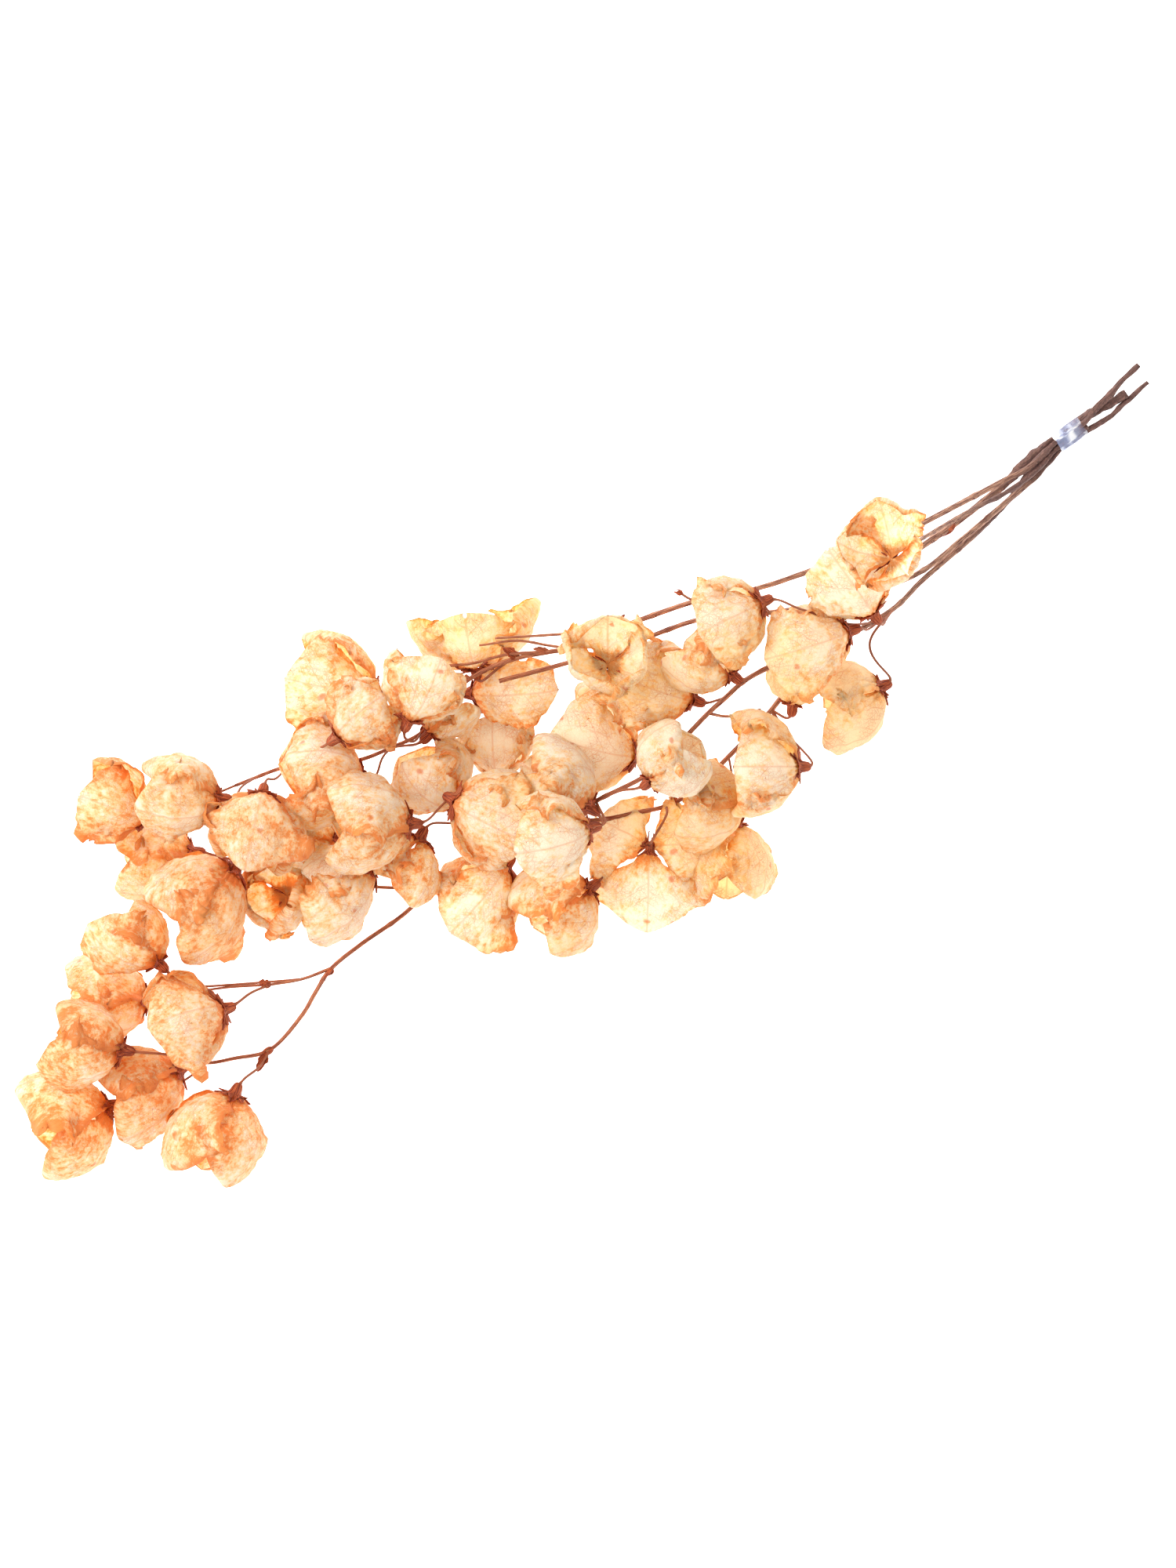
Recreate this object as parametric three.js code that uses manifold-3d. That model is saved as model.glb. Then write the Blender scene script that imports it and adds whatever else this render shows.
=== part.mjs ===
import * as THREE from 'three'
import Module from 'manifold-3d'

// Dried bougainvillea bunch lying on its side: five woody stems held by a band of clear film
// tape, with papery blooms of two to four cupped bracts at the ends of thin pedicels.
// Millimetres, Z up, X along the bunch towards the cut stem ends, origin under its middle.

// Size and place of the bunch as read from its picture, in pixels of the 1500 x 2000 frame.
const mmPerPixel = 0.4
const pictureMiddle = [750, 1000]
const bunchSlope = 34.7
const bunchMiddle = [8.5, 26.5]

// Papery bracts.
const paper = 0.7
const bractRows = [0, 0.2, 0.5, 0.84, 1]
const bractColumns = 4
const lastRows = 0.8
const baseSwell = 0.42
const tipTaper = 0.4
const ridge = 0.1
const waveHeight = 0.11
const waveCount = 1.6
const waveVary = 0.5
const cupTurn = 0.95
const cupVary = 0.12
const bendVary = 0.08
const leastHalf = 0.5
const leastRoom = 0.9
const edgeRounding = 6

// Bracts close round the bloom like a lantern, those beside its axis less than those over and
// under it, and all are fuller than a flat reading of the picture gives.
const closing = 0.72
const sidePress = 0.28
const fullness = 0.95
const moreLength = 1.13
const moreBend = 1.3

// Little knot that joins the bracts of a bloom, and the scaly tuft behind it.
const knotRadius = 1.3
const knotHalfHeight = 0.5
const rootOffset = 0.8
const rootRoom = 38
const rootShare = 0.94
const cupRadius = 2.4
const cupDepth = 4.6
const cupGap = 1.6
const cupNotch = 0.5
const scaleGap = 1
const scaleReach = 0.15
const scaleVary = 0.25
const scaleSide = 0.42
const scaleSideVary = 0.1
const usualBend = 1.5

// Wood. Heights past the tape are drawn for a flat pile and raised to its real thickness.
const pile = 1.5
const stemSides = 5
const twigSides = 4
const pedicelSides = 3
const pedicelRadius = 0.62
const pedicelStep = 14
const pedicelEnd = 2
const pedicelSink = 0.6
const stemStep = 30
const twigStep = 20

// Knobs and scraps of dried leaf on the twigs, as shares of their length.
const knobSides = 5
const knobMiddle = 0.45
const knobHalf = 0.26
const scrapMiddle = 0.45
const scrapHalf = 0.24
const scrapLift = 18
const scrapCurl = [0.5, 0.7]
const scrapThick = 0.5
const scrapRise = 0.6
const scrapSag = 0.4

// Space left between pieces that touch.
const clearance = 0.32
const tipGrow = 1.5

// Clear film tape round the stems.
const tapeMiddle = [1368, 551]
const tapeSlope = 35.5
const tapeHalfLength = 8
const tapeThickness = 0.45
const tapeSides = 20

const radians = Math.PI / 180
const up = new THREE.Vector3(0, 0, 1)

// Stems: picture place, height over the table and radius, from the cut end to the far end.
// The places marked bundle are sideways offset, height and radius inside the tape.
const stems = {
  stem_1: {
    butt: [[1456, 462, 9.5, 1.1], [1433, 485, 8.5, 1.3], [1409, 511, 6.8, 1.35]],
    bundle: [0.7, 5.85, 1.35],
    run: [
      [1318, 592, 9, 1.35], [1270, 618, 12, 1.3], [1225, 642, 16, 1.3], [1160, 675, 20, 1.25],
      [1090, 706, 24, 1.2], [1028, 730, 31, 1.2], [955, 754, 40, 1.15], [885, 768, 44, 1.15],
      [800, 797, 44, 1.1], [765, 808, 44, 1.1], [735, 826, 44, 1.05], [700, 832, 44.5, 1],
      [650, 843, 45, 1], [600, 866, 42, 0.95], [560, 905, 36, 0.9], [537, 935, 31, 0.9],
      [500, 953, 26, 0.85], [455, 970, 22, 0.85], [365, 978, 20, 0.8], [325, 992, 24, 0.75],
      [300, 1002, 28, 0.7],
    ],
  },
  stem_2: {
    butt: [],
    bundle: [-2.2, 4.5, 1.1],
    run: [
      [1325, 598, 8.6, 1.1], [1290, 624, 15, 1.1], [1250, 645, 23, 1.05], [1200, 673, 36, 1],
      [1168, 692, 48, 0.9],
    ],
  },
  stem_3: {
    butt: [[1441, 498, 3.4, 1.9], [1416, 515, 2.8, 1.95]],
    bundle: [2.6, 2.7, 1.9],
    run: [
      [1325, 578, 3.4, 2.5], [1300, 600, 4.6, 2.3], [1290, 610, 5.4, 1.6], [1225, 663, 12, 1.5],
      [1165, 705, 17, 1.4], [1100, 762, 18, 1.3], [1040, 832, 17, 1.2], [985, 905, 16, 1.15],
      [930, 965, 15, 1.1], [880, 1012, 17, 1.05], [850, 1028, 20, 1], [815, 1036, 24, 1],
      [763, 1046, 26, 0.95], [700, 1044, 27, 0.85], [640, 1034, 28, 0.75], [612, 1027, 29, 0.7],
    ],
  },
  stem_4: {
    butt: [[1469, 484, 1.8, 1], [1446, 505, 1.7, 1.15], [1414, 533, 1.9, 1.2]],
    bundle: [-3.6, 2, 1.2],
    run: [
      [1325, 606, 3.4, 1.2], [1300, 627, 7, 1.2], [1270, 652, 12, 1.2], [1225, 690, 19, 1.2],
      [1175, 729, 24, 1.15], [1100, 758, 26, 1.15], [1030, 774, 29, 1.1], [960, 784, 36, 1.1],
      [895, 790, 39, 1.1], [820, 815, 37, 1.05], [737, 842, 37, 1], [637, 869, 40, 0.95],
    ],
  },
  stem_5: {
    butt: [],
    bundle: [-0.85, 2, 1.2],
    run: [
      [1318, 598, 3.2, 1.2], [1293, 633, 5, 1.2], [1250, 676, 12, 1.2], [1215, 707, 18, 1.2],
      [1175, 742, 25, 1.15], [1140, 776, 31, 1.15], [1070, 816, 36, 1.15], [995, 845, 39, 1.1],
      [950, 868, 40, 1.1], [925, 890, 40, 1.1], [903, 910, 40, 1.05], [865, 950, 40, 1.05],
      [830, 985, 38, 1], [760, 1022, 37, 1], [700, 1062, 28, 1], [640, 1094, 18, 1],
      [590, 1116, 13, 1], [553, 1133, 14, 1], [510, 1170, 18, 1], [460, 1205, 22, 1], [420, 1238, 25, 1],
      [402, 1266, 25, 0.95], [385, 1295, 25, 0.9], [343, 1340, 25, 0.85], [300, 1350, 25, 0.8],
      [262, 1356, 26, 0.75], [240, 1350, 27, 0.65],
    ],
  },
}

// Side branches: parent stem, and their own places after the point nearest the first one.
const branches = [
  { stem: 'stem_5', run: [[424, 1236, 25, 0.75], [385, 1249, 27, 0.7], [345, 1256, 30, 0.65]] },
  { stem: 'stem_5', run: [[566, 1127, 14, 0.8], [500, 1133, 10, 0.75], [440, 1126, 8, 0.7],
    [380, 1108, 8, 0.65], [335, 1103, 12, 0.62]] },
  { stem: 'stem_1', run: [[700, 832, 44.5, 0.8], [645, 836, 47, 0.65], [600, 847, 43, 0.62],
    [540, 850, 36, 0.6]] },
  { stem: 'stem_1', run: [[775, 805, 44, 0.75], [740, 808, 49, 0.65], [683, 812, 52, 0.6],
    [632, 815, 53, 0.5]] },
  { stem: 'stem_1', run: [[728, 829, 44, 0.75], [700, 824, 48, 0.62], [660, 818, 50, 0.6],
    [612, 824, 49, 0.5]] },
  { stem: 'stem_1', run: [[915, 762, 43, 0.7], [883, 766, 50, 0.62], [866, 757, 53, 0.6]] },
  { stem: 'stem_5', run: [[903, 910, 40, 0.7], [925, 914, 40, 0.6], [950, 911, 37, 0.6],
    [970, 905, 35, 0.6]] },
]

// Twig knobs, buds and curled scraps of dried leaf: stem, place, height, length, heading.
const knobs = [
  ['stem_3', 1213, 671, 12.8, 7, 212], ['stem_3', 856, 1026, 19.4, 6, 200],
  ['stem_1', 786, 800, 44.2, 5, 200], ['stem_5', 420, 1240, 25, 5, 230],
  ['stem_5', 343, 1340, 25, 5, 215], ['stem_1', 541, 931, 31.4, 5, 230],
  ['stem_1', 866, 757, 53, 3.4, 160], ['stem_5', 340, 1256, 30.2, 4.4, 170],
]
const scraps = [
  ['stem_1', 662, 840, 45, 11, 150], ['stem_1', 702, 832, 44.5, 10, 175],
  ['stem_1', 752, 817, 44.2, 10, 170], ['stem_1', 788, 800, 44.2, 8, 60],
  ['stem_5', 256, 1355, 26.4, 11, 200], ['stem_5', 256, 1355, 26.4, 9, 245],
  ['stem_5', 340, 1343, 25, 12, 245], ['stem_5', 345, 1256, 30, 7, 165],
  ['stem_1', 600, 866, 42, 9, 190], ['stem_3', 860, 1024, 19.4, 8, 110],
]

// Bracts set round the axis of a bloom. Each is given by its place round the axis, in degrees
// from the top towards the left of the heading, its length and width in pixels, and its own
// spread from the axis where it differs.
function whorl(heading, lift, spread, bend, list) {
  const axis = direction(heading, lift)
  const side = new THREE.Vector3().crossVectors(up, axis).normalize()
  const top = new THREE.Vector3().crossVectors(axis, side)
  const round = list.map((entry) => [(entry[0] + 720) % 360, ...entry.slice(1)]).sort((a, b) => a[0] - b[0])
  return round.map(([turn, length, width, own], index) => {
    const outer = top.clone().multiplyScalar(Math.cos(turn * radians))
    outer.addScaledVector(side, Math.sin(turn * radians))
    const open = closing * (own ?? spread) * (1 + sidePress * Math.abs(Math.sin(turn * radians))) * radians
    const chord = axis.clone().multiplyScalar(Math.cos(open)).addScaledVector(outer, Math.sin(open))
    const gaps = round.filter((entry, other) => other !== index).map(([next]) => (next - turn + 720) % 360)
    const room = [Math.min(...gaps.map((gap) => 360 - gap)), Math.min(...gaps)]
    return { axis, chord, open, length, width, bend, room: room.map((gap) => Math.min(gap / 2 - 2, 78)) }
  })
}

const evenly = (turn, length, width) => [0, 120, 240].map((step) => [turn + step, length, width])

// Blooms: picture place and height of the base, where the pedicel leaves its stem, the bracts.
const blooms = {
  bloom_a1: { at: [137, 1412, 22], from: ['stem_5', 262, 1356], by: [[236, 1378, 12], [196, 1398, 12]],
    bracts: whorl(197, 0, 36, 1.7, [[-55, 100, 98], [70, 98, 92], [180, 96, 86]]) },
  bloom_a2: { at: [228, 1364, 20], from: ['stem_5', 262, 1356], by: [[246, 1358, 22]],
    bracts: whorl(207, 0, 33, 1.5, [[-60, 92, 84], [50, 96, 80], [170, 84, 66]]) },
  bloom_a3: { at: [300, 1395, 38], from: ['stem_5', 343, 1340], by: [[332, 1362, 31]],
    bracts: whorl(246, 0, 24, 1.8, [[-60, 104, 86], [60, 98, 82], [180, 94, 78]]) },
  bloom_a4: { at: [287, 1287, 40], from: ['stem_5', 345, 1256], by: [[312, 1270, 38]],
    bracts: whorl(199, 4, 34, 1.7, [[-12, 96, 92], [-128, 92, 78], [112, 84, 74]]) },
  bloom_a5: { at: [158, 1338, 40], from: ['stem_5', 240, 1350], by: [[205, 1343, 36]],
    bracts: whorl(168, 0, 29, 1.6, [[-60, 80, 72], [55, 98, 78], [180, 70, 60, 20]]) },
  bloom_a6: { at: [187, 1275, 12], from: ['stem_5', 345, 1256], by: [[270, 1262, 20]],
    bracts: whorl(178, 0, 24, 1.7, [[-60, 98, 86], [60, 98, 80], [180, 84, 70]]) },
  bloom_a7: { at: [203, 1228, 34], from: ['stem_5', 385, 1249], by: [[300, 1256, 22], [240, 1258, 26]],
    bracts: whorl(135, 0, 31, 1.6, [[-60, 72, 80], [35, 90, 74], [135, 60, 62]]) },
  bloom_b1: { at: [188, 1045, 37], from: ['stem_1', 300, 1002], by: [[262, 1018, 22], [228, 1036, 26]],
    bracts: whorl(159, 4, 31, 1.6, [[-112, 88, 74], [2, 82, 84], [118, 70, 64, 24]]) },
  bloom_b2: { at: [282, 1018, 48], from: ['stem_1', 325, 992], by: [[306, 1006, 40]],
    bracts: whorl(176, 5, 21, 1.9, [[35, 88, 78], [155, 78, 72], [275, 84, 76]]) },
  bloom_b3: { at: [336, 1014, 47], from: ['stem_1', 365, 978], by: [[352, 994, 30]],
    bracts: whorl(258, 4, 31, 2.2, [[0, 86, 84], [120, 84, 78], [240, 76, 72]]) },
  bloom_b4: { at: [245, 1088, 14], from: ['stem_5', 335, 1103], by: [[310, 1098, 12], [275, 1094, 12]],
    bracts: whorl(184, 0, 27, 1.7, [[-60, 92, 76], [60, 92, 74], [180, 80, 70]]) },
  bloom_b5: { at: [300, 1106, 31], from: ['stem_5', 335, 1103], by: [[314, 1101, 24]],
    bracts: whorl(220, 2, 30, 1.6, [[-50, 102, 82], [55, 116, 90], [180, 90, 76]]) },
  bloom_c1: { at: [462, 994, 36], from: ['stem_1', 500, 953], by: [[484, 970, 34]],
    bracts: whorl(175, 6, 26, 1.9, [[-30, 94, 90], [80, 104, 84], [200, 88, 78]]) },
  bloom_c2: { at: [525, 1050, 52], from: ['stem_3', 612, 1029], by: [[588, 1012, 38], [560, 1030, 48]],
    bracts: whorl(178, 3, 29, 1.7, [[-45, 102, 80], [65, 106, 68], [180, 84, 62]]) },
  bloom_c3: { at: [475, 1103, 34], from: ['stem_5', 553, 1133], by: [[526, 1128, 22], [502, 1118, 33]],
    bracts: whorl(208, 0, 32, 1.5, [[-50, 82, 72], [50, 110, 82], [150, 104, 60]]) },
  bloom_c4: { at: [365, 1144, 9], from: ['stem_5', 440, 1126], by: [[402, 1138, 4]],
    bracts: whorl(170, 74, 29, 2, evenly(20, 68, 70)) },
  bloom_c5: { at: [428, 1068, 22], from: ['stem_5', 440, 1126], by: [[446, 1090, 16]],
    bracts: whorl(185, 2, 29, 1.6, [[-60, 60, 58], [60, 58, 56]]) },
  bloom_c6: { at: [536, 1068, 36], from: ['stem_3', 640, 1034], by: [[590, 1050, 24]],
    bracts: whorl(242, 0, 29, 1.5, [[-60, 66, 62], [50, 80, 58]]) },
  bloom_c7: { at: [582, 1024, 26], from: ['stem_3', 640, 1034], by: [[606, 1028, 27]],
    bracts: whorl(132, 4, 25, 1.9, evenly(30, 80, 76)) },
  bloom_d1: { at: [478, 884, 23], from: ['stem_1', 540, 850], by: [[508, 868, 28]],
    bracts: whorl(168, 4, 30, 1.6, [[-102, 96, 76], [6, 110, 94], [114, 88, 68]]) },
  bloom_d2: { at: [432, 940, 54], from: ['stem_1', 400, 975], by: [[398, 958, 44]],
    bracts: whorl(38, 5, 24, 1.9, evenly(8, 75, 66)) },
  bloom_d3: { at: [522, 920, 58], from: ['stem_1', 537, 935], by: [[528, 947, 46]],
    bracts: whorl(68, 4, 33, 1.5, [[92, 80, 70], [-12, 86, 82], [-118, 80, 66]]) },
  bloom_d4: { at: [548, 936, 36], from: ['stem_1', 500, 953], by: [[524, 950, 32]],
    bracts: whorl(48, 0, 29, 1.6, [[-60, 56, 54], [60, 50, 50]]) },
  bloom_d5: { at: [607, 852, 30], from: ['stem_1', 650, 843], by: [[636, 852, 42]],
    bracts: whorl(97, 6, 54, 1.4, [[96, 88, 76], [5, 76, 84], [-92, 94, 84]]) },
  bloom_d6: { at: [600, 884, 18], from: ['stem_1', 560, 905], by: [[574, 900, 28]],
    bracts: whorl(4, 2, 24, 1.7, [[-6, 104, 50], [172, 84, 44]]) },
  bloom_e1: { at: [636, 992, 11], from: ['stem_3', 640, 1034], by: [[642, 1014, 13]],
    bracts: whorl(92, 4, 28, 1.7, [[8, 76, 84], [-100, 72, 64], [116, 70, 62]]) },
  bloom_e2: { at: [580, 1020, 45], from: ['stem_3', 640, 1034], by: [[604, 1026, 38]],
    bracts: whorl(-24, 6, 34, 1.5, [[92, 94, 84], [-10, 100, 96], [-112, 94, 76]]) },
  bloom_e3: { at: [752, 1030, 42], from: ['stem_3', 775, 1045], by: [[768, 1052, 38]],
    bracts: whorl(147, 0, 26, 1.7, [[-60, 92, 76], [60, 100, 74], [180, 84, 66]]) },
  bloom_e4: { at: [752, 1056, 65], from: ['stem_5', 760, 1022], by: [[770, 1042, 54]],
    bracts: whorl(192, 6, 32, 1.6, [[-92, 84, 70], [14, 92, 76], [122, 66, 60]]) },
  bloom_e5: { at: [645, 1104, 23], from: ['stem_5', 700, 1062], by: [[668, 1090, 25]],
    bracts: whorl(228, 4, 32, 1.6, [[-96, 84, 74], [6, 104, 92], [108, 92, 74]]) },
  bloom_e6: { at: [752, 1133, 26], from: ['stem_3', 815, 1036], by: [[796, 1078, 17], [772, 1112, 21]],
    bracts: whorl(214, 0, 31, 1.8, [[-60, 92, 76], [60, 84, 76], [180, 76, 68]]) },
  bloom_f1: { at: [775, 848, 50], from: ['stem_4', 820, 815], by: [[792, 834, 40]],
    bracts: whorl(90, 74, 41, 1.3, evenly(60, 74, 76)) },
  bloom_f2: { at: [885, 893, 36], from: ['stem_5', 925, 890], by: [[905, 896, 38]],
    bracts: whorl(160, 4, 31, 1.6, [[-102, 84, 72], [6, 94, 92], [114, 84, 72]]) },
  bloom_f3: { at: [812, 963, 17], from: ['stem_5', 830, 985], by: [[820, 980, 26]],
    bracts: whorl(163, 4, 37, 1.6, [[-100, 92, 84], [8, 116, 102], [116, 92, 80]]) },
  bloom_f4: { at: [829, 996, 57], from: ['stem_5', 760, 1022], by: [[800, 1006, 54]],
    bracts: whorl(40, 5, 30, 2.1, evenly(62, 68, 80)) },
  bloom_f5: { at: [933, 862, 50], from: ['stem_5', 995, 845], by: [[962, 858, 50]],
    bracts: whorl(143, 0, 31, 1.7, [[-60, 66, 62], [60, 78, 70], [180, 66, 60]]) },
  bloom_g1: { at: [828, 1080, 28], from: ['stem_3', 850, 1028], by: [[850, 1042, 32]],
    bracts: whorl(265, -80, 78, 1.3, [[-115, 74, 80], [98, 66, 72], [4, 96, 86]]) },
  bloom_h1: { at: [970, 770, 62], from: ['stem_5', 1110, 792],
    by: [[1080, 797, 48], [1040, 784, 57], [1005, 774, 61]],
    bracts: whorl(205, 2, 38, 1.5, [[-104, 72, 66], [2, 88, 80], [108, 74, 66]]) },
  bloom_h2: { at: [1134, 716, 69], from: ['stem_2', 1168, 692],
    bracts: whorl(130, 70, 62, 1.4, [[212, 66, 58], [142, 66, 56], [-2, 54, 50]]) },
  bloom_h3: { at: [1112, 784, 50], from: ['stem_5', 1140, 776], by: [[1128, 792, 40]],
    bracts: whorl(126, 8, 26, 1.8, [[0, 88, 86], [122, 70, 64], [240, 86, 76]]) },
  bloom_h4: { at: [1082, 806, 48], from: ['stem_5', 1140, 776], by: [[1104, 806, 39]],
    bracts: whorl(197, 6, 28, 1.6, [[-100, 80, 56], [4, 108, 76], [112, 74, 52]]) },
  bloom_h5: { at: [1012, 899, 25], from: ['stem_3', 985, 905], by: [[1002, 916, 20]],
    bracts: whorl(80, 4, 33, 1.5, [[60, 54, 60], [-60, 38, 38]]) },
  bloom_h6: { at: [1124, 876, 21], from: ['stem_5', 1140, 776], by: [[1106, 822, 28], [1122, 850, 26]],
    bracts: whorl(202, 0, 32, 1.7, [[-60, 84, 76], [60, 84, 78], [180, 62, 54]]) },
  bloom_i1: { at: [1018, 978, 46], from: ['stem_3', 985, 905], by: [[1004, 936, 22], [1028, 962, 36]],
    bracts: whorl(180, 6, 40, 1.5, [[-98, 96, 80], [0, 88, 88], [98, 84, 74]]) },
  bloom_i2: { at: [952, 1025, 33], from: ['stem_3', 985, 905], by: [[1000, 960, 20], [975, 1016, 30]],
    bracts: whorl(180, 0, 33, 1.6, [[-60, 86, 76], [50, 86, 78], [180, 70, 62]]) },
  bloom_i3: { at: [935, 1050, 12.3], from: ['stem_3', 930, 965], by: [[938, 1010, 14]],
    bracts: whorl(265, 0, 27, 1.7, [[-60, 90, 60], [60, 88, 60], [180, 84, 54]]) },
}

const wasm = await Module()
wasm.setup()

// Picture place and height to the frame of the part.
function spot(px, py, height) {
  const right = (px - pictureMiddle[0]) * mmPerPixel
  const above = (pictureMiddle[1] - py) * mmPerPixel
  const cos = Math.cos(bunchSlope * radians)
  const sin = Math.sin(bunchSlope * radians)
  return new THREE.Vector3(
    right * cos + above * sin - bunchMiddle[0],
    above * cos - right * sin - bunchMiddle[1],
    height,
  )
}

// Picture heading, counter-clockwise from the right, and lift over the table to a unit vector.
function direction(heading, lift) {
  const turn = (heading - bunchSlope) * radians
  const flat = Math.cos(lift * radians)
  return new THREE.Vector3(flat * Math.cos(turn), flat * Math.sin(turn), Math.sin(lift * radians))
}

// The same with a height drawn in the flat pile.
const place = (px, py, height) => spot(px, py, height * pile)

// The same irregular value between -1 and 1 for the same seed.
function chance(seed) {
  const wave = Math.sin(seed * 12.9898 + 4.137) * 43758.5453
  return 2 * (wave - Math.floor(wave)) - 1
}

// A closed solid from points and triangles.
function solid(points, triangles) {
  const flat = new Float32Array(points.length * 3)
  points.forEach((point, index) => point.toArray(flat, index * 3))
  let volume = 0
  for (const [a, b, c] of triangles) {
    volume += points[a].dot(new THREE.Vector3().crossVectors(points[b], points[c]))
  }
  const turned = volume < 0 ? triangles.map(([a, b, c]) => [a, c, b]) : triangles
  const mesh = new wasm.Mesh({
    numProp: 3, vertProperties: flat, triVerts: new Uint32Array(turned.flat()),
  })
  return new wasm.Manifold(mesh)
}

// Rings of equally many points, closed at both ends by a fan.
function loft(rings) {
  const count = rings[0].length
  const points = rings.flat()
  const triangles = []
  for (let ring = 0; ring + 1 < rings.length; ring += 1) {
    for (let side = 0; side < count; side += 1) {
      const here = ring * count + side
      const next = ring * count + (side + 1) % count
      triangles.push([here, next, next + count], [here, next + count, here + count])
    }
  }
  const last = (rings.length - 1) * count
  for (let side = 1; side + 1 < count; side += 1) {
    triangles.push([0, side + 1, side], [last, last + side, last + side + 1])
  }
  return solid(points, triangles)
}

// Centres of the rings of a bar: the given places, and points between them on a smooth line
// where they lie further apart than the step.
function centres(places, radii, step) {
  const line = new THREE.CatmullRomCurve3(places, false, 'centripetal')
  const rows = []
  for (let index = 0; index + 1 < places.length; index += 1) {
    const pieces = Math.max(1, Math.round(places[index].distanceTo(places[index + 1]) / step))
    for (let piece = 0; piece < pieces; piece += 1) {
      const share = piece / pieces
      rows.push({
        centre: line.getPoint((index + share) / (places.length - 1)),
        radius: THREE.MathUtils.lerp(radii[index], radii[index + 1], share),
      })
    }
  }
  rows.push({ centre: places.at(-1).clone(), radius: radii.at(-1) })
  return rows
}

// Rings of a round bar along its centres, each turned on from the one before.
function barRings(rows, sides, grow) {
  let normal = null
  return rows.map(({ centre, radius }, index) => {
    const before = rows[Math.max(index - 1, 0)].centre
    const after = rows[Math.min(index + 1, rows.length - 1)].centre
    const along = after.clone().sub(before).normalize()
    normal = normal ?? new THREE.Vector3(0, 0, 1)
    normal = normal.clone().addScaledVector(along, -normal.dot(along)).normalize()
    const other = new THREE.Vector3().crossVectors(along, normal)
    const ring = []
    for (let side = 0; side < sides; side += 1) {
      const turn = (side / sides) * 2 * Math.PI
      ring.push(centre.clone()
        .addScaledVector(normal, (radius + grow) * Math.cos(turn))
        .addScaledVector(other, (radius + grow) * Math.sin(turn)))
    }
    return ring
  })
}

// Set a bract in space, with its own bend, cup and waves.
function settle(entry, base, seed) {
  const bend = entry.bend * moreBend * (1 + bendVary * chance(seed + 0.3))
  const { axis, chord, open } = entry
  const outer = chord.clone().multiplyScalar(Math.cos(open)).sub(axis).normalize()
  return {
    base, chord, outer, bend, seed, open,
    across: new THREE.Vector3().crossVectors(outer, chord),
    length: entry.length * moreLength * mmPerPixel * (bend / 2) / Math.sin(bend / 2),
    half: entry.width * mmPerPixel * fullness,
    room: entry.room,
    cup: cupTurn + cupVary * chance(seed + 0.7),
    waves: waveCount + waveVary * chance(seed + 1.1),
    phase: 3.1 * chance(seed + 1.9),
  }
}

// Point of the rib of a bract, from its root (0) to its tip (1): along the chord, out of it and
// the angle between the two.
function ribPoint(petal, s) {
  const turn = petal.bend / 2 - petal.bend * s
  const radius = petal.length / petal.bend
  const forward = rootOffset + radius * (Math.sin(petal.bend / 2) - Math.sin(turn))
  const outward = radius * (Math.cos(turn) - Math.cos(petal.bend / 2))
  return { turn, forward, outward }
}

// Half the width of a bract: broad near the root, pointed tip, and never past the middle of the
// space to the next bract of the bloom.
function halfWidth(petal, s, t) {
  const widest = baseSwell / (baseSwell + tipTaper)
  const full = widest ** baseSwell * (1 - widest) ** tipTaper
  const body = petal.half * (s ** baseSwell) * ((1 - s) ** tipTaper) / full
  const { turn, forward, outward } = ribPoint(petal, s)
  const away = forward * Math.sin(petal.open) + outward * Math.cos(petal.open)
  const slope = Math.tan(petal.room[t > 0 ? 1 : 0] * radians)
  const lean = Math.cos(turn - petal.open) * (1 - Math.cos(petal.cup)) / petal.cup
  const most = (slope * away) / (Math.sin(petal.cup) / petal.cup + slope * lean)
  const [own, room] = [Math.max(body, leastHalf), Math.max(most, leastRoom)]
  return (own ** -edgeRounding + room ** -edgeRounding) ** (-1 / edgeRounding)
}

// Point of a bract: a rib bent inwards along an arc, its sides curved round the bloom and waved.
function bractPoint(petal, s, t, grow = 0) {
  const { turn, forward, outward } = ribPoint(petal, s)
  const half = halfWidth(petal, s, t) + grow
  const angle = petal.cup * t
  const sideways = half * Math.sin(angle) / petal.cup
  const wave = waveHeight * Math.sin(2 * Math.PI * petal.waves * s + petal.phase + 1.7 * Math.sign(t))
  const drop = half * ((1 - Math.cos(angle)) / petal.cup + ridge * Math.abs(t) - wave * t * t)
  return petal.base.clone()
    .addScaledVector(petal.chord, forward + drop * Math.sin(turn))
    .addScaledVector(petal.outer, outward - drop * Math.cos(turn))
    .addScaledVector(petal.across, sideways)
}

// Outward normal of a bract.
function bractNormal(petal, s, t) {
  const step = 0.02
  const along = bractPoint(petal, Math.min(s + step, 0.98), t)
  along.sub(bractPoint(petal, Math.max(Math.min(s, 0.96) - step, 0.01), t))
  const low = Math.max(Math.min(s, 0.94), 0.04)
  const over = bractPoint(petal, low, t + step * 2).sub(bractPoint(petal, low, t - step * 2))
  return new THREE.Vector3().crossVectors(along, over).normalize()
}

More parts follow.
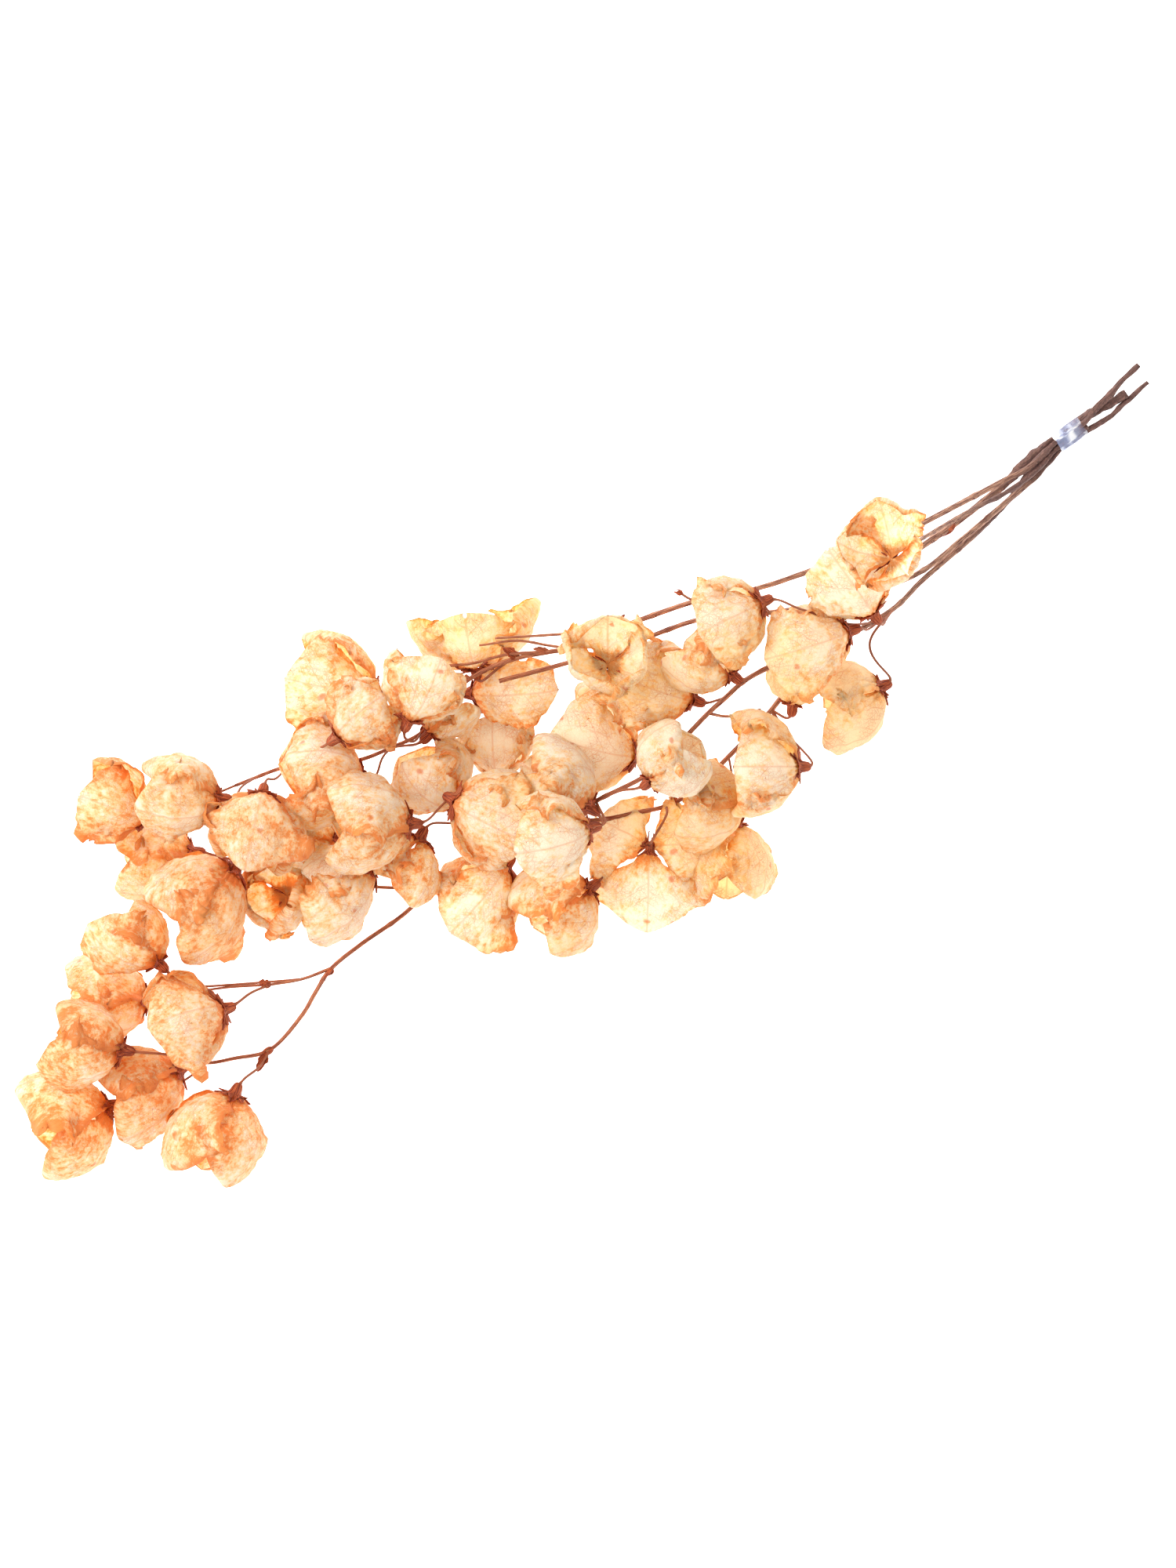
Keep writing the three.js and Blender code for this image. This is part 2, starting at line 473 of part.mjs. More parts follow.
// The bracts of one bloom with the knot in which they meet, as one thin closed sheet. Both
// faces are split alike. Each bract leaves a side of the knot and ends in a point.
function bloomSolid(item, grow = 0) {
  const points = [-1, 1].map((way) => item.base.clone()
    .addScaledVector(item.axis, way * (knotHalfHeight + grow)))
  const triangles = []
  const roots = item.petals.map((petal) => {
    const outer = petal.outer.clone().addScaledVector(item.axis, -petal.outer.dot(item.axis)).normalize()
    const start = points.length
    for (const way of [-1, 1]) {
      for (const side of [-1, 1]) {
        const room = Math.min(petal.room[side > 0 ? 1 : 0], rootRoom) * radians
        points.push(item.base.clone()
          .addScaledVector(item.axis, way * (knotHalfHeight + grow))
          .addScaledVector(outer, knotRadius)
          .addScaledVector(petal.across, side * (knotRadius * Math.tan(room) * rootShare + grow)))
      }
    }
    const rows = [1, -1].map((face) => bractFace(petal, face, grow, points))
    const width = bractColumns + 1
    const rowCount = bractRows.length - 2
    rows.forEach((first, faceIndex) => {
      const add = (a, b, c) => triangles.push(faceIndex ? [a, c, b] : [a, b, c])
      const [left, right] = [start + faceIndex * 2, start + faceIndex * 2 + 1]
      const half = bractColumns / 2
      for (let column = 0; column < bractColumns; column += 1) {
        add(column < half ? left : right, first + column, first + column + 1)
        for (let row = 0; row + 1 < rowCount; row += 1) {
          const here = first + row * width + column
          add(here, here + width, here + width + 1)
          add(here, here + width + 1, here + 1)
        }
        const last = first + (rowCount - 1) * width
        add(last + column, first + rowCount * width, last + column + 1)
      }
      add(left, first + half, right)
    })
    for (const side of [0, 1]) {
      const edge = rows.map((first, faceIndex) => [
        start + faceIndex * 2 + side,
        ...bractRows.slice(1, -1).map((row, index) => first + index * width + side * bractColumns),
        first + rowCount * width,
      ])
      for (let step = 0; step + 1 < edge[0].length; step += 1) {
        const [a, b, c, d] = [edge[0][step], edge[0][step + 1], edge[1][step + 1], edge[1][step]]
        triangles.push(...(side ? [[a, b, c], [a, c, d]] : [[a, c, b], [a, d, c]]))
      }
    }
    return start
  })
  roots.forEach((root, index) => {
    const next = roots[(index + 1) % roots.length]
    triangles.push([0, root, root + 1], [0, root + 1, next])
    triangles.push([1, root + 3, root + 2], [1, next + 2, root + 3])
    triangles.push([root + 1, next + 2, next], [root + 1, root + 3, next + 2])
  })
  return solid(points, triangles)
}

// Points of one face of a bract, row by row from its root to its tip.
function bractFace(petal, face, grow, points) {
  const first = points.length
  for (const row of bractRows.slice(1)) {
    const tip = row === 1
    for (let column = 0; column <= (tip ? 0 : bractColumns); column += 1) {
      const t = tip ? 0 : (2 * column) / bractColumns - 1
      const point = bractPoint(petal, row, t, tip ? 0 : grow)
      point.addScaledVector(bractNormal(petal, row, t), face * (paper / 2 + grow))
      const end = row > lastRows ? grow * (tip ? tipGrow : Math.abs(t)) : 0
      point.addScaledVector(petal.chord, end * Math.cos(ribPoint(petal, row).turn))
      points.push(point.addScaledVector(petal.outer, end * Math.sin(ribPoint(petal, row).turn)))
    }
  }
  return first
}

// Rings of a small turned shape along an axis, as [distance along, radius] pairs.
function turned(origin, axis, profile, sides) {
  const beside = Math.abs(axis.z) > 0.8 ? new THREE.Vector3(1, 0, 0) : up
  const side = new THREE.Vector3().crossVectors(axis, beside)
  side.normalize()
  const other = new THREE.Vector3().crossVectors(axis, side)
  return loft(profile.map(([along, radius]) => {
    const ring = []
    for (let step = 0; step < sides; step += 1) {
      const turn = (step / sides) * 2 * Math.PI
      ring.push(origin.clone().addScaledVector(axis, along)
        .addScaledVector(side, radius * Math.cos(turn))
        .addScaledVector(other, radius * Math.sin(turn)))
    }
    return ring
  }))
}

// Smooth line of a stem with its radii, from the cut end to the far end.
function stemLine(stem) {
  const along = new THREE.Vector2(Math.cos(tapeSlope * radians), -Math.sin(tapeSlope * radians))
  const [offset, height, radius] = stem.bundle
  const inTape = (distance) => {
    const px = tapeMiddle[0] + (along.x * distance + along.y * offset) / mmPerPixel
    const py = tapeMiddle[1] + (along.y * distance - along.x * offset) / mmPerPixel
    return [px, py, height, radius]
  }
  const run = stem.run.map(([px, py, high, thick]) => [px, py, high * pile, thick])
  const rows = [...stem.butt, inTape(tapeHalfLength + 2), inTape(0), inTape(-tapeHalfLength - 2), ...run]
  return centres(rows.map(([px, py, high]) => spot(px, py, high)), rows.map((row) => row[3]), stemStep)
}

// Point of a line of ring centres nearest to a picture place.
function nearest(line, px, py) {
  const target = spot(px, py, 0)
  let best = null
  for (let index = 0; index + 1 < line.rows.length; index += 1) {
    const [a, b] = [line.rows[index].centre, line.rows[index + 1].centre]
    for (let step = 0; step <= 20; step += 1) {
      const point = a.clone().lerp(b, step / 20)
      const away = Math.hypot(point.x - target.x, point.y - target.y)
      if (!best || away < best.away) {
        best = { away, point }
      }
    }
  }
  return best
}

// Where a twig leaves its stem: on the stem or on the nearest of its branches.
function leave(name, px, py, lines) {
  const own = lines.filter((line) => line.stem === name).map((line) => nearest(line, px, py))
  return own.reduce((best, next) => (next.away < best.away ? next : best))
}

const fuse = (parts) => parts.reduce((whole, next) => whole.add(next))

// All lines of wood: the stems and their side branches.
function woodLines() {
  const lines = Object.entries(stems).map(([name, stem]) => (
    { stem: name, sides: stemSides, rows: stemLine(stem) }))
  for (const branch of branches) {
    const [first, ...rest] = branch.run
    const root = leave(branch.stem, first[0], first[1], lines)
    const places = [root.point, ...rest.map(([px, py, high]) => place(px, py, high))]
    const rows = centres(places, branch.run.map((row) => row[3]), twigStep)
    lines.push({ stem: branch.stem, sides: twigSides, rows })
  }
  return lines
}

// Bracts of every bloom, set in space.
function settleBlooms() {
  return Object.entries(blooms).map(([name, bloom], order) => {
    const base = place(...bloom.at)
    const petals = bloom.bracts.map((entry, index) => settle(entry, base, order * 7 + index * 1.7))
    return { name, bloom, base, petals, axis: bloom.bracts[0].axis }
  })
}

// Line of the pedicel from the stem to the cup of its bloom.
function pedicel(item, lines) {
  const root = leave(...item.bloom.from, lines)
  const end = item.base.clone().addScaledVector(item.axis, -cupGap - cupDepth)
  const before = end.clone().addScaledVector(item.axis, -pedicelEnd)
  const via = (item.bloom.by ?? []).map((row) => place(...row))
  return [root.point, ...via, before, end.clone().addScaledVector(item.axis, pedicelSink)]
}

// Star of pointed scales that lie over the bracts: a tip for each scale and a notch between.
function starRing(item, grow) {
  const tips = []
  for (const petal of item.petals.slice(0, 3)) {
    for (const side of [-1, 1]) {
      const t = side * (scaleSide + scaleSideVary * chance(petal.seed + side + 2.3))
      const vary = 1 + scaleVary * chance(petal.seed + side + 3.1)
      const reach = scaleReach * vary * usualBend / petal.bend
      const tip = bractPoint(petal, reach, t).addScaledVector(bractNormal(petal, reach, t), scaleGap + grow)
      tips.push(tip.addScaledVector(tip.clone().sub(item.base).normalize(), grow * tipGrow))
    }
  }
  const order = angleRound(item)
  tips.sort((a, b) => order(a) - order(b))
  return tips.flatMap((tip, index) => {
    const next = tips[(index + 1) % tips.length]
    const notch = tip.clone().sub(item.base).normalize().add(next.clone().sub(item.base).normalize())
    notch.addScaledVector(item.axis, -notch.dot(item.axis)).setLength(cupRadius + grow)
    return [tip, notch.add(item.base).addScaledVector(item.axis, -cupGap - cupNotch)]
  })
}

// Angle of a point round the axis of a bloom.
function angleRound(item) {
  const first = item.petals[0].across
  const second = new THREE.Vector3().crossVectors(item.axis, first).normalize()
  return (point) => {
    const arm = point.clone().sub(item.base)
    return Math.atan2(arm.dot(second), arm.dot(first))
  }
}

// Pedicel of a bloom with the brown tuft at its end, as one closed solid.
function tuftedPedicel(item, lines, grow = 0) {
  const places = pedicel(item, lines)
  const rings = barRings(centres(places, places.map(() => pedicelRadius), pedicelStep), pedicelSides, grow)
  const order = angleRound(item)
  const star = starRing(item, grow)
  const turnStar = (index) => order(star[index % star.length]) + (index >= star.length ? 2 * Math.PI : 0)
  const end = rings.pop().sort((a, b) => order(a) - order(b))
  const turnEnd = (index) => order(end[index % pedicelSides]) + (index >= pedicelSides ? 2 * Math.PI : 0)
  // The rings before the last one start at the corner that lines up with its first corner.
  const inside = item.base.clone().addScaledVector(item.axis, -cupGap + grow)
  const points = [...rings.flat(), ...end, ...star, inside]
  const last = rings.length * pedicelSides
  const starFirst = last + pedicelSides
  const centre = points.length - 1
  const triangles = [[0, 2, 1]]
  const before = rings[rings.length - 1]
  const shift = before.reduce((best, point, index) => (
    point.distanceTo(end[0]) < before[best].distanceTo(end[0]) ? index : best), 0)
  for (let ring = 0; ring < rings.length; ring += 1) {
    const offset = ring === rings.length - 1 ? shift : 0
    for (let side = 0; side < pedicelSides; side += 1) {
      const here = ring * pedicelSides + (side + offset) % pedicelSides
      const next = ring * pedicelSides + (side + 1 + offset) % pedicelSides
      const above = (ring + 1) * pedicelSides
      const over = above + (side + 1) % pedicelSides
      triangles.push([here, next, over], [here, over, above + side])
    }
  }
  let [low, high] = [0, 0]
  while (low < pedicelSides || high < star.length) {
    const stepLow = high >= star.length || (low < pedicelSides && turnEnd(low + 1) < turnStar(high + 1))
    const [a, b] = [last + low % pedicelSides, starFirst + high % star.length]
    if (stepLow) {
      triangles.push([a, last + (low + 1) % pedicelSides, b])
      low += 1
    } else {
      triangles.push([a, starFirst + (high + 1) % star.length, b])
      high += 1
    }
  }
  star.forEach((point, index) => {
    triangles.push([centre, starFirst + index, starFirst + (index + 1) % star.length])
  })
  return solid(points, triangles)
}

// Small swelling or bud on a twig.
function knob([, px, py, high, length, heading], grow = 0) {
  const axis = direction(heading, 0)
  const start = place(px, py, high).addScaledVector(axis, -length / 2)
  const middle = length * knobHalf + grow
  const profile = [[-grow, 0.35 + grow], [length * knobMiddle, middle], [length + grow, 0.3 + grow]]
  return turned(start, axis, profile, knobSides)
}

// Curled scrap of dried leaf on a twig.
function scrap([, px, py, high, length, heading], grow = 0) {
  const axis = direction(heading, scrapLift)
  const side = new THREE.Vector3().crossVectors(up, axis).normalize()
  const root = place(px, py, high)
  const wide = length * scrapHalf
  const ring = (along, half, rise) => {
    const centre = root.clone().addScaledVector(axis, along).addScaledVector(up, rise)
    return [
      centre.clone().addScaledVector(side, half + grow).addScaledVector(up, scrapCurl[0] * half),
      centre.clone().addScaledVector(up, scrapThick + grow),
      centre.clone().addScaledVector(side, -half - grow).addScaledVector(up, scrapCurl[1] * half),
      centre.clone().addScaledVector(up, -scrapThick - grow),
    ]
  }
  const middle = length * scrapMiddle
  return loft([
    ring(-scrapSag, 0.5, 0),
    ring(middle, wide, scrapRise),
    ring(length + grow, 0.25, -scrapSag),
  ])
}

// The wood of one stem, with its branches, pedicels, tufts, knobs and scraps.
function stemSolid(name, lines, items, grow = 0) {
  const parts = lines.filter((line) => line.stem === name)
    .map((line) => loft(barRings(line.rows, line.sides, grow)))
  for (const item of items.filter(({ bloom }) => bloom.from[0] === name)) {
    parts.push(tuftedPedicel(item, lines, grow))
  }
  knobs.filter((entry) => entry[0] === name).forEach((entry) => parts.push(knob(entry, grow)))
  scraps.filter((entry) => entry[0] === name).forEach((entry) => parts.push(scrap(entry, grow)))
  return fuse(parts)
}

// Band of tape: the outline round the stems, hollow, with a flat underside on the table.
function tapeSolid(grow = 0) {
  const along = direction(tapeSlope, 0)
  const side = new THREE.Vector3().crossVectors(up, along)
  const middle = spot(...tapeMiddle, 0)
  const ring = (distance, gap) => {
    const points = []
    for (let step = 0; step < tapeSides; step += 1) {
      const turn = ((step + 0.5) / tapeSides) * 2 * Math.PI
      const reach = ([offset, high, radius]) => Math.cos(turn) * offset + Math.sin(turn) * high + radius
      const rounds = Object.values(stems).map((stem) => stem.bundle)
      const [offset, high, radius] = rounds.reduce((best, next) => (reach(next) > reach(best) ? next : best))
      const level = high + (radius + gap) * Math.sin(turn)
      points.push(middle.clone().addScaledVector(along, distance)
        .addScaledVector(side, offset + (radius + gap) * Math.cos(turn))
        .addScaledVector(up, Math.abs(level) < 0.06 ? 0 : level))
    }
    return points
  }
  const gap = clearance + 0.05
  const far = tapeHalfLength + grow
  const outer = loft([ring(-far, gap + tapeThickness + grow), ring(far, gap + tapeThickness + grow)])
  const inner = loft([ring(-tapeHalfLength - 3, gap - grow), ring(tapeHalfLength + 3, gap - grow)])
  return outer.subtract(inner)
}

// Keep what lies over the table, as the largest single body.
function overTable(shape) {
  const box = new THREE.BoxGeometry(2000, 2000, 400).translate(0, 0, -200)
  const points = []
  const position = box.getAttribute('position')
  const index = [...box.getIndex().array]
  const corners = new Map()
  const link = index.map((corner) => {
    const point = new THREE.Vector3().fromBufferAttribute(position, corner)
    const key = point.toArray().join()
    if (!corners.has(key)) {
      corners.set(key, points.length)
      points.push(point)
    }
    return corners.get(key)
  })
  const triangles = []
  for (let start = 0; start < link.length; start += 3) {
    triangles.push(link.slice(start, start + 3))
  }
  return shape.subtract(solid(points, triangles))
}

function largest(shape) {
  return shape.decompose().reduce((best, next) => (next.volume() > best.volume() ? next : best))
}

const materials = {
  wood: new THREE.MeshStandardMaterial({ name: 'wood', color: 0x6e4a38, roughness: 0.8 }),
  petals: new THREE.MeshStandardMaterial({ name: 'petals', color: 0xf3c38e, roughness: 0.7 }),
  film: new THREE.MeshStandardMaterial({ name: 'film', color: 0xdfe6ec, roughness: 0.25 }),
}

// Mesh of a closed solid under its node name.
function piece(name, shape, material) {
  const { vertProperties, triVerts, numProp } = shape.getMesh()
  const places = new Float32Array((vertProperties.length / numProp) * 3)
  for (let point = 0; point * numProp < vertProperties.length; point += 1) {
    places.set(vertProperties.subarray(point * numProp, point * numProp + 3), point * 3)
  }
  const geometry = new THREE.BufferGeometry()
  geometry.setAttribute('position', new THREE.BufferAttribute(places, 3))
  geometry.setIndex(new THREE.BufferAttribute(new Uint32Array(triVerts), 1))
  const mesh = new THREE.Mesh(geometry, material)
  mesh.name = name
  return mesh
}

const group = new THREE.Group()
group.name = 'dried_bougainvillea'

const lines = woodLines()
const items = settleBlooms()
const taken = []
for (const name of Object.keys(stems)) {
  const own = stemSolid(name, lines, items)
  let shape = overTable(own)
  for (const other of taken) {
    shape = shape.subtract(other)
  }
  group.add(piece(name, largest(shape), materials.wood))
  taken.push(own.add(stemSolid(name, lines, items, clearance)))
}
group.add(piece('tape', tapeSolid(), materials.film))
taken.push(tapeSolid(clearance))

// The upper blooms keep their shape and the lower ones give way to them.
items.sort((a, b) => b.base.z - a.base.z)
for (const item of items) {
  const own = bloomSolid(item)
  let shape = overTable(own)
  for (const other of taken) {
    shape = shape.subtract(other)
  }
  group.add(piece(item.name, largest(shape), materials.petals))
  taken.push(own.add(bloomSolid(item, clearance)))
}

export default group
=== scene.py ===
import math
import bpy
import numpy as np
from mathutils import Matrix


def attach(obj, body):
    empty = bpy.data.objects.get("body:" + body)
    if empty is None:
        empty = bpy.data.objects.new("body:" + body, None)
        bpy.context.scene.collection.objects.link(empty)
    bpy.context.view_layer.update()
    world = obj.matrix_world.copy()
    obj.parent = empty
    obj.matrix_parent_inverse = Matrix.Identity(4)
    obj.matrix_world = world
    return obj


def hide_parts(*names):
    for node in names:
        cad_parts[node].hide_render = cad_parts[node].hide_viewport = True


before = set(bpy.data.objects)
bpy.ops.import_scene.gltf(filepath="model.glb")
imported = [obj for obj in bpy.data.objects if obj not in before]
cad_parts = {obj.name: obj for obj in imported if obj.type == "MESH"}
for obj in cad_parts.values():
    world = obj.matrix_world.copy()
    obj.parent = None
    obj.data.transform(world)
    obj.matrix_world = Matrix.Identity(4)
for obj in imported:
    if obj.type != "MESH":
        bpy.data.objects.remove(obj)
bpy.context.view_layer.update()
print("frame loaded")

# A dried bougainvillea bunch on its side. Lengths are millimetres until a mesh is made,
# and places are pixels of the 1500 x 2000 photograph, as in the part's own source.

picture = dict(
    mmPerPixel=0.4, middle=(750, 1000),
    slope=34.7,               # degrees that the bunch slopes in the picture
    shift=(8.5, 26.5),        # mm from the middle of the picture to the origin
    pile=1.5,                 # times that the heights of the layers are spread out
)
up = np.array([0.0, 0.0, 1.0])
tableGap = 0.12   # lowest height of anything that lies on the table


def spot(px, py, height):
    # right and up from the middle of the picture, turned by the slope, less the shift
    right = (np.asarray(px, float) - picture["middle"][0]) * picture["mmPerPixel"]
    above = (picture["middle"][1] - np.asarray(py, float)) * picture["mmPerPixel"]
    cos, sin = math.cos(math.radians(picture["slope"])), math.sin(math.radians(picture["slope"]))
    x = right * cos + above * sin - picture["shift"][0]
    y = above * cos - right * sin - picture["shift"][1]
    return np.stack([x, y, x * 0 + height], -1)


def pileSpot(px, py, height):
    return spot(px, py, np.asarray(height, float) * picture["pile"])


def direction(heading, lift):
    # unit vector of a picture heading, raised over the table by the lift
    turn, rise = math.radians(heading - picture["slope"]), math.radians(lift)
    return np.array([math.cos(rise) * math.cos(turn), math.cos(rise) * math.sin(turn), math.sin(rise)])


def unit(vectors):
    return vectors / np.maximum(np.linalg.norm(vectors, axis=-1, keepdims=True), 1e-9)


def chance(seed):
    # irregular value between -1 and 1: the broken-off part of a large sine
    wave = np.sin(np.asarray(seed, float) * 12.9898 + 4.137) * 43758.5453
    return 2 * (wave - np.floor(wave)) - 1


def crumple(u, v, seed, waves=5):
    # sum of sines in seeded directions, each finer and lower than the last, about -1 to 1
    total = 0
    for k in range(waves):
        turn = math.pi * chance(seed + 0.37 * k)
        pitch = 1 + 0.5 * k
        phase = 6.3 * chance(seed + 1.3 * k + 0.5)
        total = total + np.sin(pitch * (u * math.cos(turn) + v * math.sin(turn)) + phase) / (1 + 0.6 * k)
    return total / 2


def folds(u, v, seed):
    # crumpled paper: flats that meet at sharp edges, from the size of three crossing waves
    total = 0
    for k in range(3):
        turn = math.pi * chance(seed + 0.61 * k)
        beside = u * math.sin(turn) - v * math.cos(turn)
        bent = u * math.cos(turn) + v * math.sin(turn) + 0.8 * np.sin(0.6 * beside + seed)
        phase = 6.3 * chance(seed + 2.3 * k)
        total = total + (0.64 - np.abs(np.sin((1 + 0.45 * k) * bent + phase))) / (1 + 0.5 * k)
    return total


def ease(low, high, value):
    # smooth step from 0 at low to 1 at high
    share = np.clip((value - low) / (high - low), 0, 1)
    return share * share * (3 - 2 * share)


# Meshes.

def grid(first, second):
    return np.meshgrid(first, second, indexing="ij")


def tubeFaces(rows, sides):
    # quads of a grid closed round its sides, and a fan to a pole point at both ends
    row, side = grid(np.arange(rows - 1), np.arange(sides))
    here, turn = row * sides + side, row * sides + (side + 1) % sides
    quads = np.stack([here, turn, turn + sides, here + sides], -1).reshape(-1, 4)
    ring, step = np.arange(sides), (np.arange(sides) + 1) % sides
    first, last, end = rows * sides, rows * sides + 1, (rows - 1) * sides
    start = np.stack([ring * 0 + first, step, ring], -1)
    stop = np.stack([ring * 0 + last, ring + end, step + end], -1)
    return [quads, start, stop]


def sheetFaces(rows, columns):
    # an outer grid, an inner grid turned over, and a strip along their common edge
    row, column = grid(np.arange(rows - 1), np.arange(columns - 1))
    here = row * columns + column
    outer = np.stack([here, here + columns, here + columns + 1, here + 1], -1).reshape(-1, 4)
    inner = outer[:, ::-1] + rows * columns
    last = rows - 1
    edge = np.concatenate([
        np.arange(last) * columns, last * columns + np.arange(columns - 1),
        (last - np.arange(last)) * columns + columns - 1, np.arange(columns - 1, 0, -1)])
    after = np.roll(edge, -1)
    strip = np.stack([after, edge, edge + rows * columns, after + rows * columns], -1)
    return [outer, inner, strip]


def normals(surface):
    # unit vectors square to the rows and columns of a grid of points
    return unit(np.cross(np.gradient(surface, axis=0), np.gradient(surface, axis=1)))


def sheetPoints(surface, thickness):
    # the grid of a surface moved half its thickness along its normals, to both sides
    offset = normals(surface) * thickness / 2
    both = np.concatenate([surface + offset, surface - offset])
    both[..., 2] = np.maximum(both[..., 2], tableGap)
    return both.reshape(-1, 3)


class Heap:
    # points, faces and painted values of one piece, gathered part by part
    def __init__(self):
        self.points, self.faces, self.paint, self.count = [], [], [], 0

    def add(self, points, faces, paint):
        self.points.append(points)
        self.faces.extend([part + self.count for part in faces])
        self.paint.append(paint)
        self.count += len(points)

    def addSheet(self, surface, thickness, paint):
        self.add(sheetPoints(surface, thickness), sheetFaces(*surface.shape[:2]), np.vstack([paint, paint]))


def placed(name, data):
    thing = bpy.data.objects.new(name, data)
    bpy.context.scene.collection.objects.link(thing)
    return thing


paintKeys = ("leafPlace", "leafShape")   # attributes that carry the painted values


def makePiece(name, heap, material, slotName, *nodes):
    points = np.vstack(heap.points) * 0.001
    mesh = bpy.data.meshes.new(name)
    mesh.from_pydata(points.tolist(), [], [face for part in heap.faces for face in part.tolist()])
    for part, key in enumerate(paintKeys):
        values = np.vstack([paint[:, part * 3:part * 3 + 3] for paint in heap.paint])
        layer = mesh.attributes.new(key, "FLOAT_VECTOR", "POINT")
        layer.data.foreach_set("vector", np.ascontiguousarray(values, np.float32).ravel())
    mesh.polygons.foreach_set("use_smooth", [True] * len(mesh.polygons))
    mesh.materials.append(material)
    piece = placed(name, mesh)
    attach(piece, "root")
    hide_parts(*nodes)


def painted(*columns):
    # one row of six values for each point: a place in mm with a seed, and a shape with a tone
    shape = columns[0].shape
    rows = [np.broadcast_to(np.asarray(column, float), shape) for column in columns]
    return np.stack(rows, -1).reshape(-1, 6)


# Stems, twigs and pedicels.

stems = {
    "stem_1": dict(
        butt=[(1456, 462, 9.5, 1.1), (1433, 485, 8.5, 1.3), (1409, 511, 6.8, 1.35)],
        bundle=(0.7, 5.85, 1.35),
        run=[(1318, 592, 9, 1.35), (1270, 618, 12, 1.3), (1225, 642, 16, 1.3), (1160, 675, 20, 1.25),
             (1090, 706, 24, 1.2), (1028, 730, 31, 1.2), (955, 754, 40, 1.15), (885, 768, 44, 1.15),
             (800, 797, 44, 1.1), (765, 808, 44, 1.1), (735, 826, 44, 1.05), (700, 832, 44.5, 1),
             (650, 843, 45, 1), (600, 866, 42, 0.95), (560, 905, 36, 0.9), (537, 935, 31, 0.9),
             (500, 953, 26, 0.85), (455, 970, 22, 0.85), (365, 978, 20, 0.8), (325, 992, 24, 0.75),
             (300, 1002, 28, 0.7)]),
    "stem_2": dict(
        butt=[], bundle=(-2.2, 4.5, 1.1),
        run=[(1325, 598, 8.6, 1.1), (1290, 624, 15, 1.1), (1250, 645, 23, 1.05), (1200, 673, 36, 1),
             (1168, 692, 48, 0.9)]),
    "stem_3": dict(
        butt=[(1441, 498, 3.4, 1.9), (1416, 515, 2.8, 1.95)], bundle=(2.6, 2.7, 1.9),
        run=[(1325, 578, 3.4, 2.5), (1300, 600, 4.6, 2.3), (1290, 610, 5.4, 1.6), (1225, 663, 12, 1.5),
             (1165, 705, 17, 1.4), (1100, 762, 18, 1.3), (1040, 832, 17, 1.2), (985, 905, 16, 1.15),
             (930, 965, 15, 1.1), (880, 1012, 17, 1.05), (850, 1028, 20, 1), (815, 1036, 24, 1),
             (763, 1046, 26, 0.95), (700, 1044, 27, 0.85), (640, 1034, 28, 0.75), (612, 1027, 29, 0.7)]),
    "stem_4": dict(
        butt=[(1469, 484, 1.8, 1), (1446, 505, 1.7, 1.15), (1414, 533, 1.9, 1.2)], bundle=(-3.6, 2, 1.2),
        run=[(1325, 606, 3.4, 1.2), (1300, 627, 7, 1.2), (1270, 652, 12, 1.2), (1225, 690, 19, 1.2),
             (1175, 729, 24, 1.15), (1100, 758, 26, 1.15), (1030, 774, 29, 1.1), (960, 784, 36, 1.1),
             (895, 790, 39, 1.1), (820, 815, 37, 1.05), (737, 842, 37, 1), (637, 869, 40, 0.95)]),
    "stem_5": dict(
        butt=[], bundle=(-0.85, 2, 1.2),
        run=[(1318, 598, 3.2, 1.2), (1293, 633, 5, 1.2), (1250, 676, 12, 1.2), (1215, 707, 18, 1.2),
             (1175, 742, 25, 1.15), (1140, 776, 31, 1.15), (1070, 816, 36, 1.15), (995, 845, 39, 1.1),
             (950, 868, 40, 1.1), (925, 890, 40, 1.1), (903, 910, 40, 1.05), (865, 950, 40, 1.05),
             (830, 985, 38, 1), (760, 1022, 37, 1), (700, 1062, 28, 1), (640, 1094, 18, 1),
             (590, 1116, 13, 1), (553, 1133, 14, 1), (510, 1170, 18, 1), (460, 1205, 22, 1),
             (420, 1238, 25, 1), (402, 1266, 25, 0.95), (385, 1295, 25, 0.9), (343, 1340, 25, 0.85),
             (300, 1350, 25, 0.8), (262, 1356, 26, 0.75), (240, 1350, 27, 0.65)]),
}

# Side branches: parent stem and their places after the nearest point of it.
branches = [
    ("stem_5", [(424, 1236, 25, 0.75), (385, 1249, 27, 0.7), (345, 1256, 30, 0.65)]),
    ("stem_5", [(566, 1127, 14, 0.8), (500, 1133, 10, 0.75), (440, 1126, 8, 0.7), (380, 1108, 8, 0.65),
                (335, 1103, 12, 0.62)]),
    ("stem_1", [(700, 832, 44.5, 0.8), (645, 836, 47, 0.65), (600, 847, 43, 0.62), (540, 850, 36, 0.6)]),
    ("stem_1", [(775, 805, 44, 0.75), (740, 808, 49, 0.65), (683, 812, 52, 0.6), (632, 815, 53, 0.5)]),
    ("stem_1", [(728, 829, 44, 0.75), (700, 824, 48, 0.62), (660, 818, 50, 0.6), (612, 824, 49, 0.5)]),
    ("stem_1", [(915, 762, 43, 0.7), (883, 766, 50, 0.62), (866, 757, 53, 0.6)]),
    ("stem_5", [(903, 910, 40, 0.7), (925, 914, 40, 0.6), (950, 911, 37, 0.6), (970, 905, 35, 0.6)]),
]

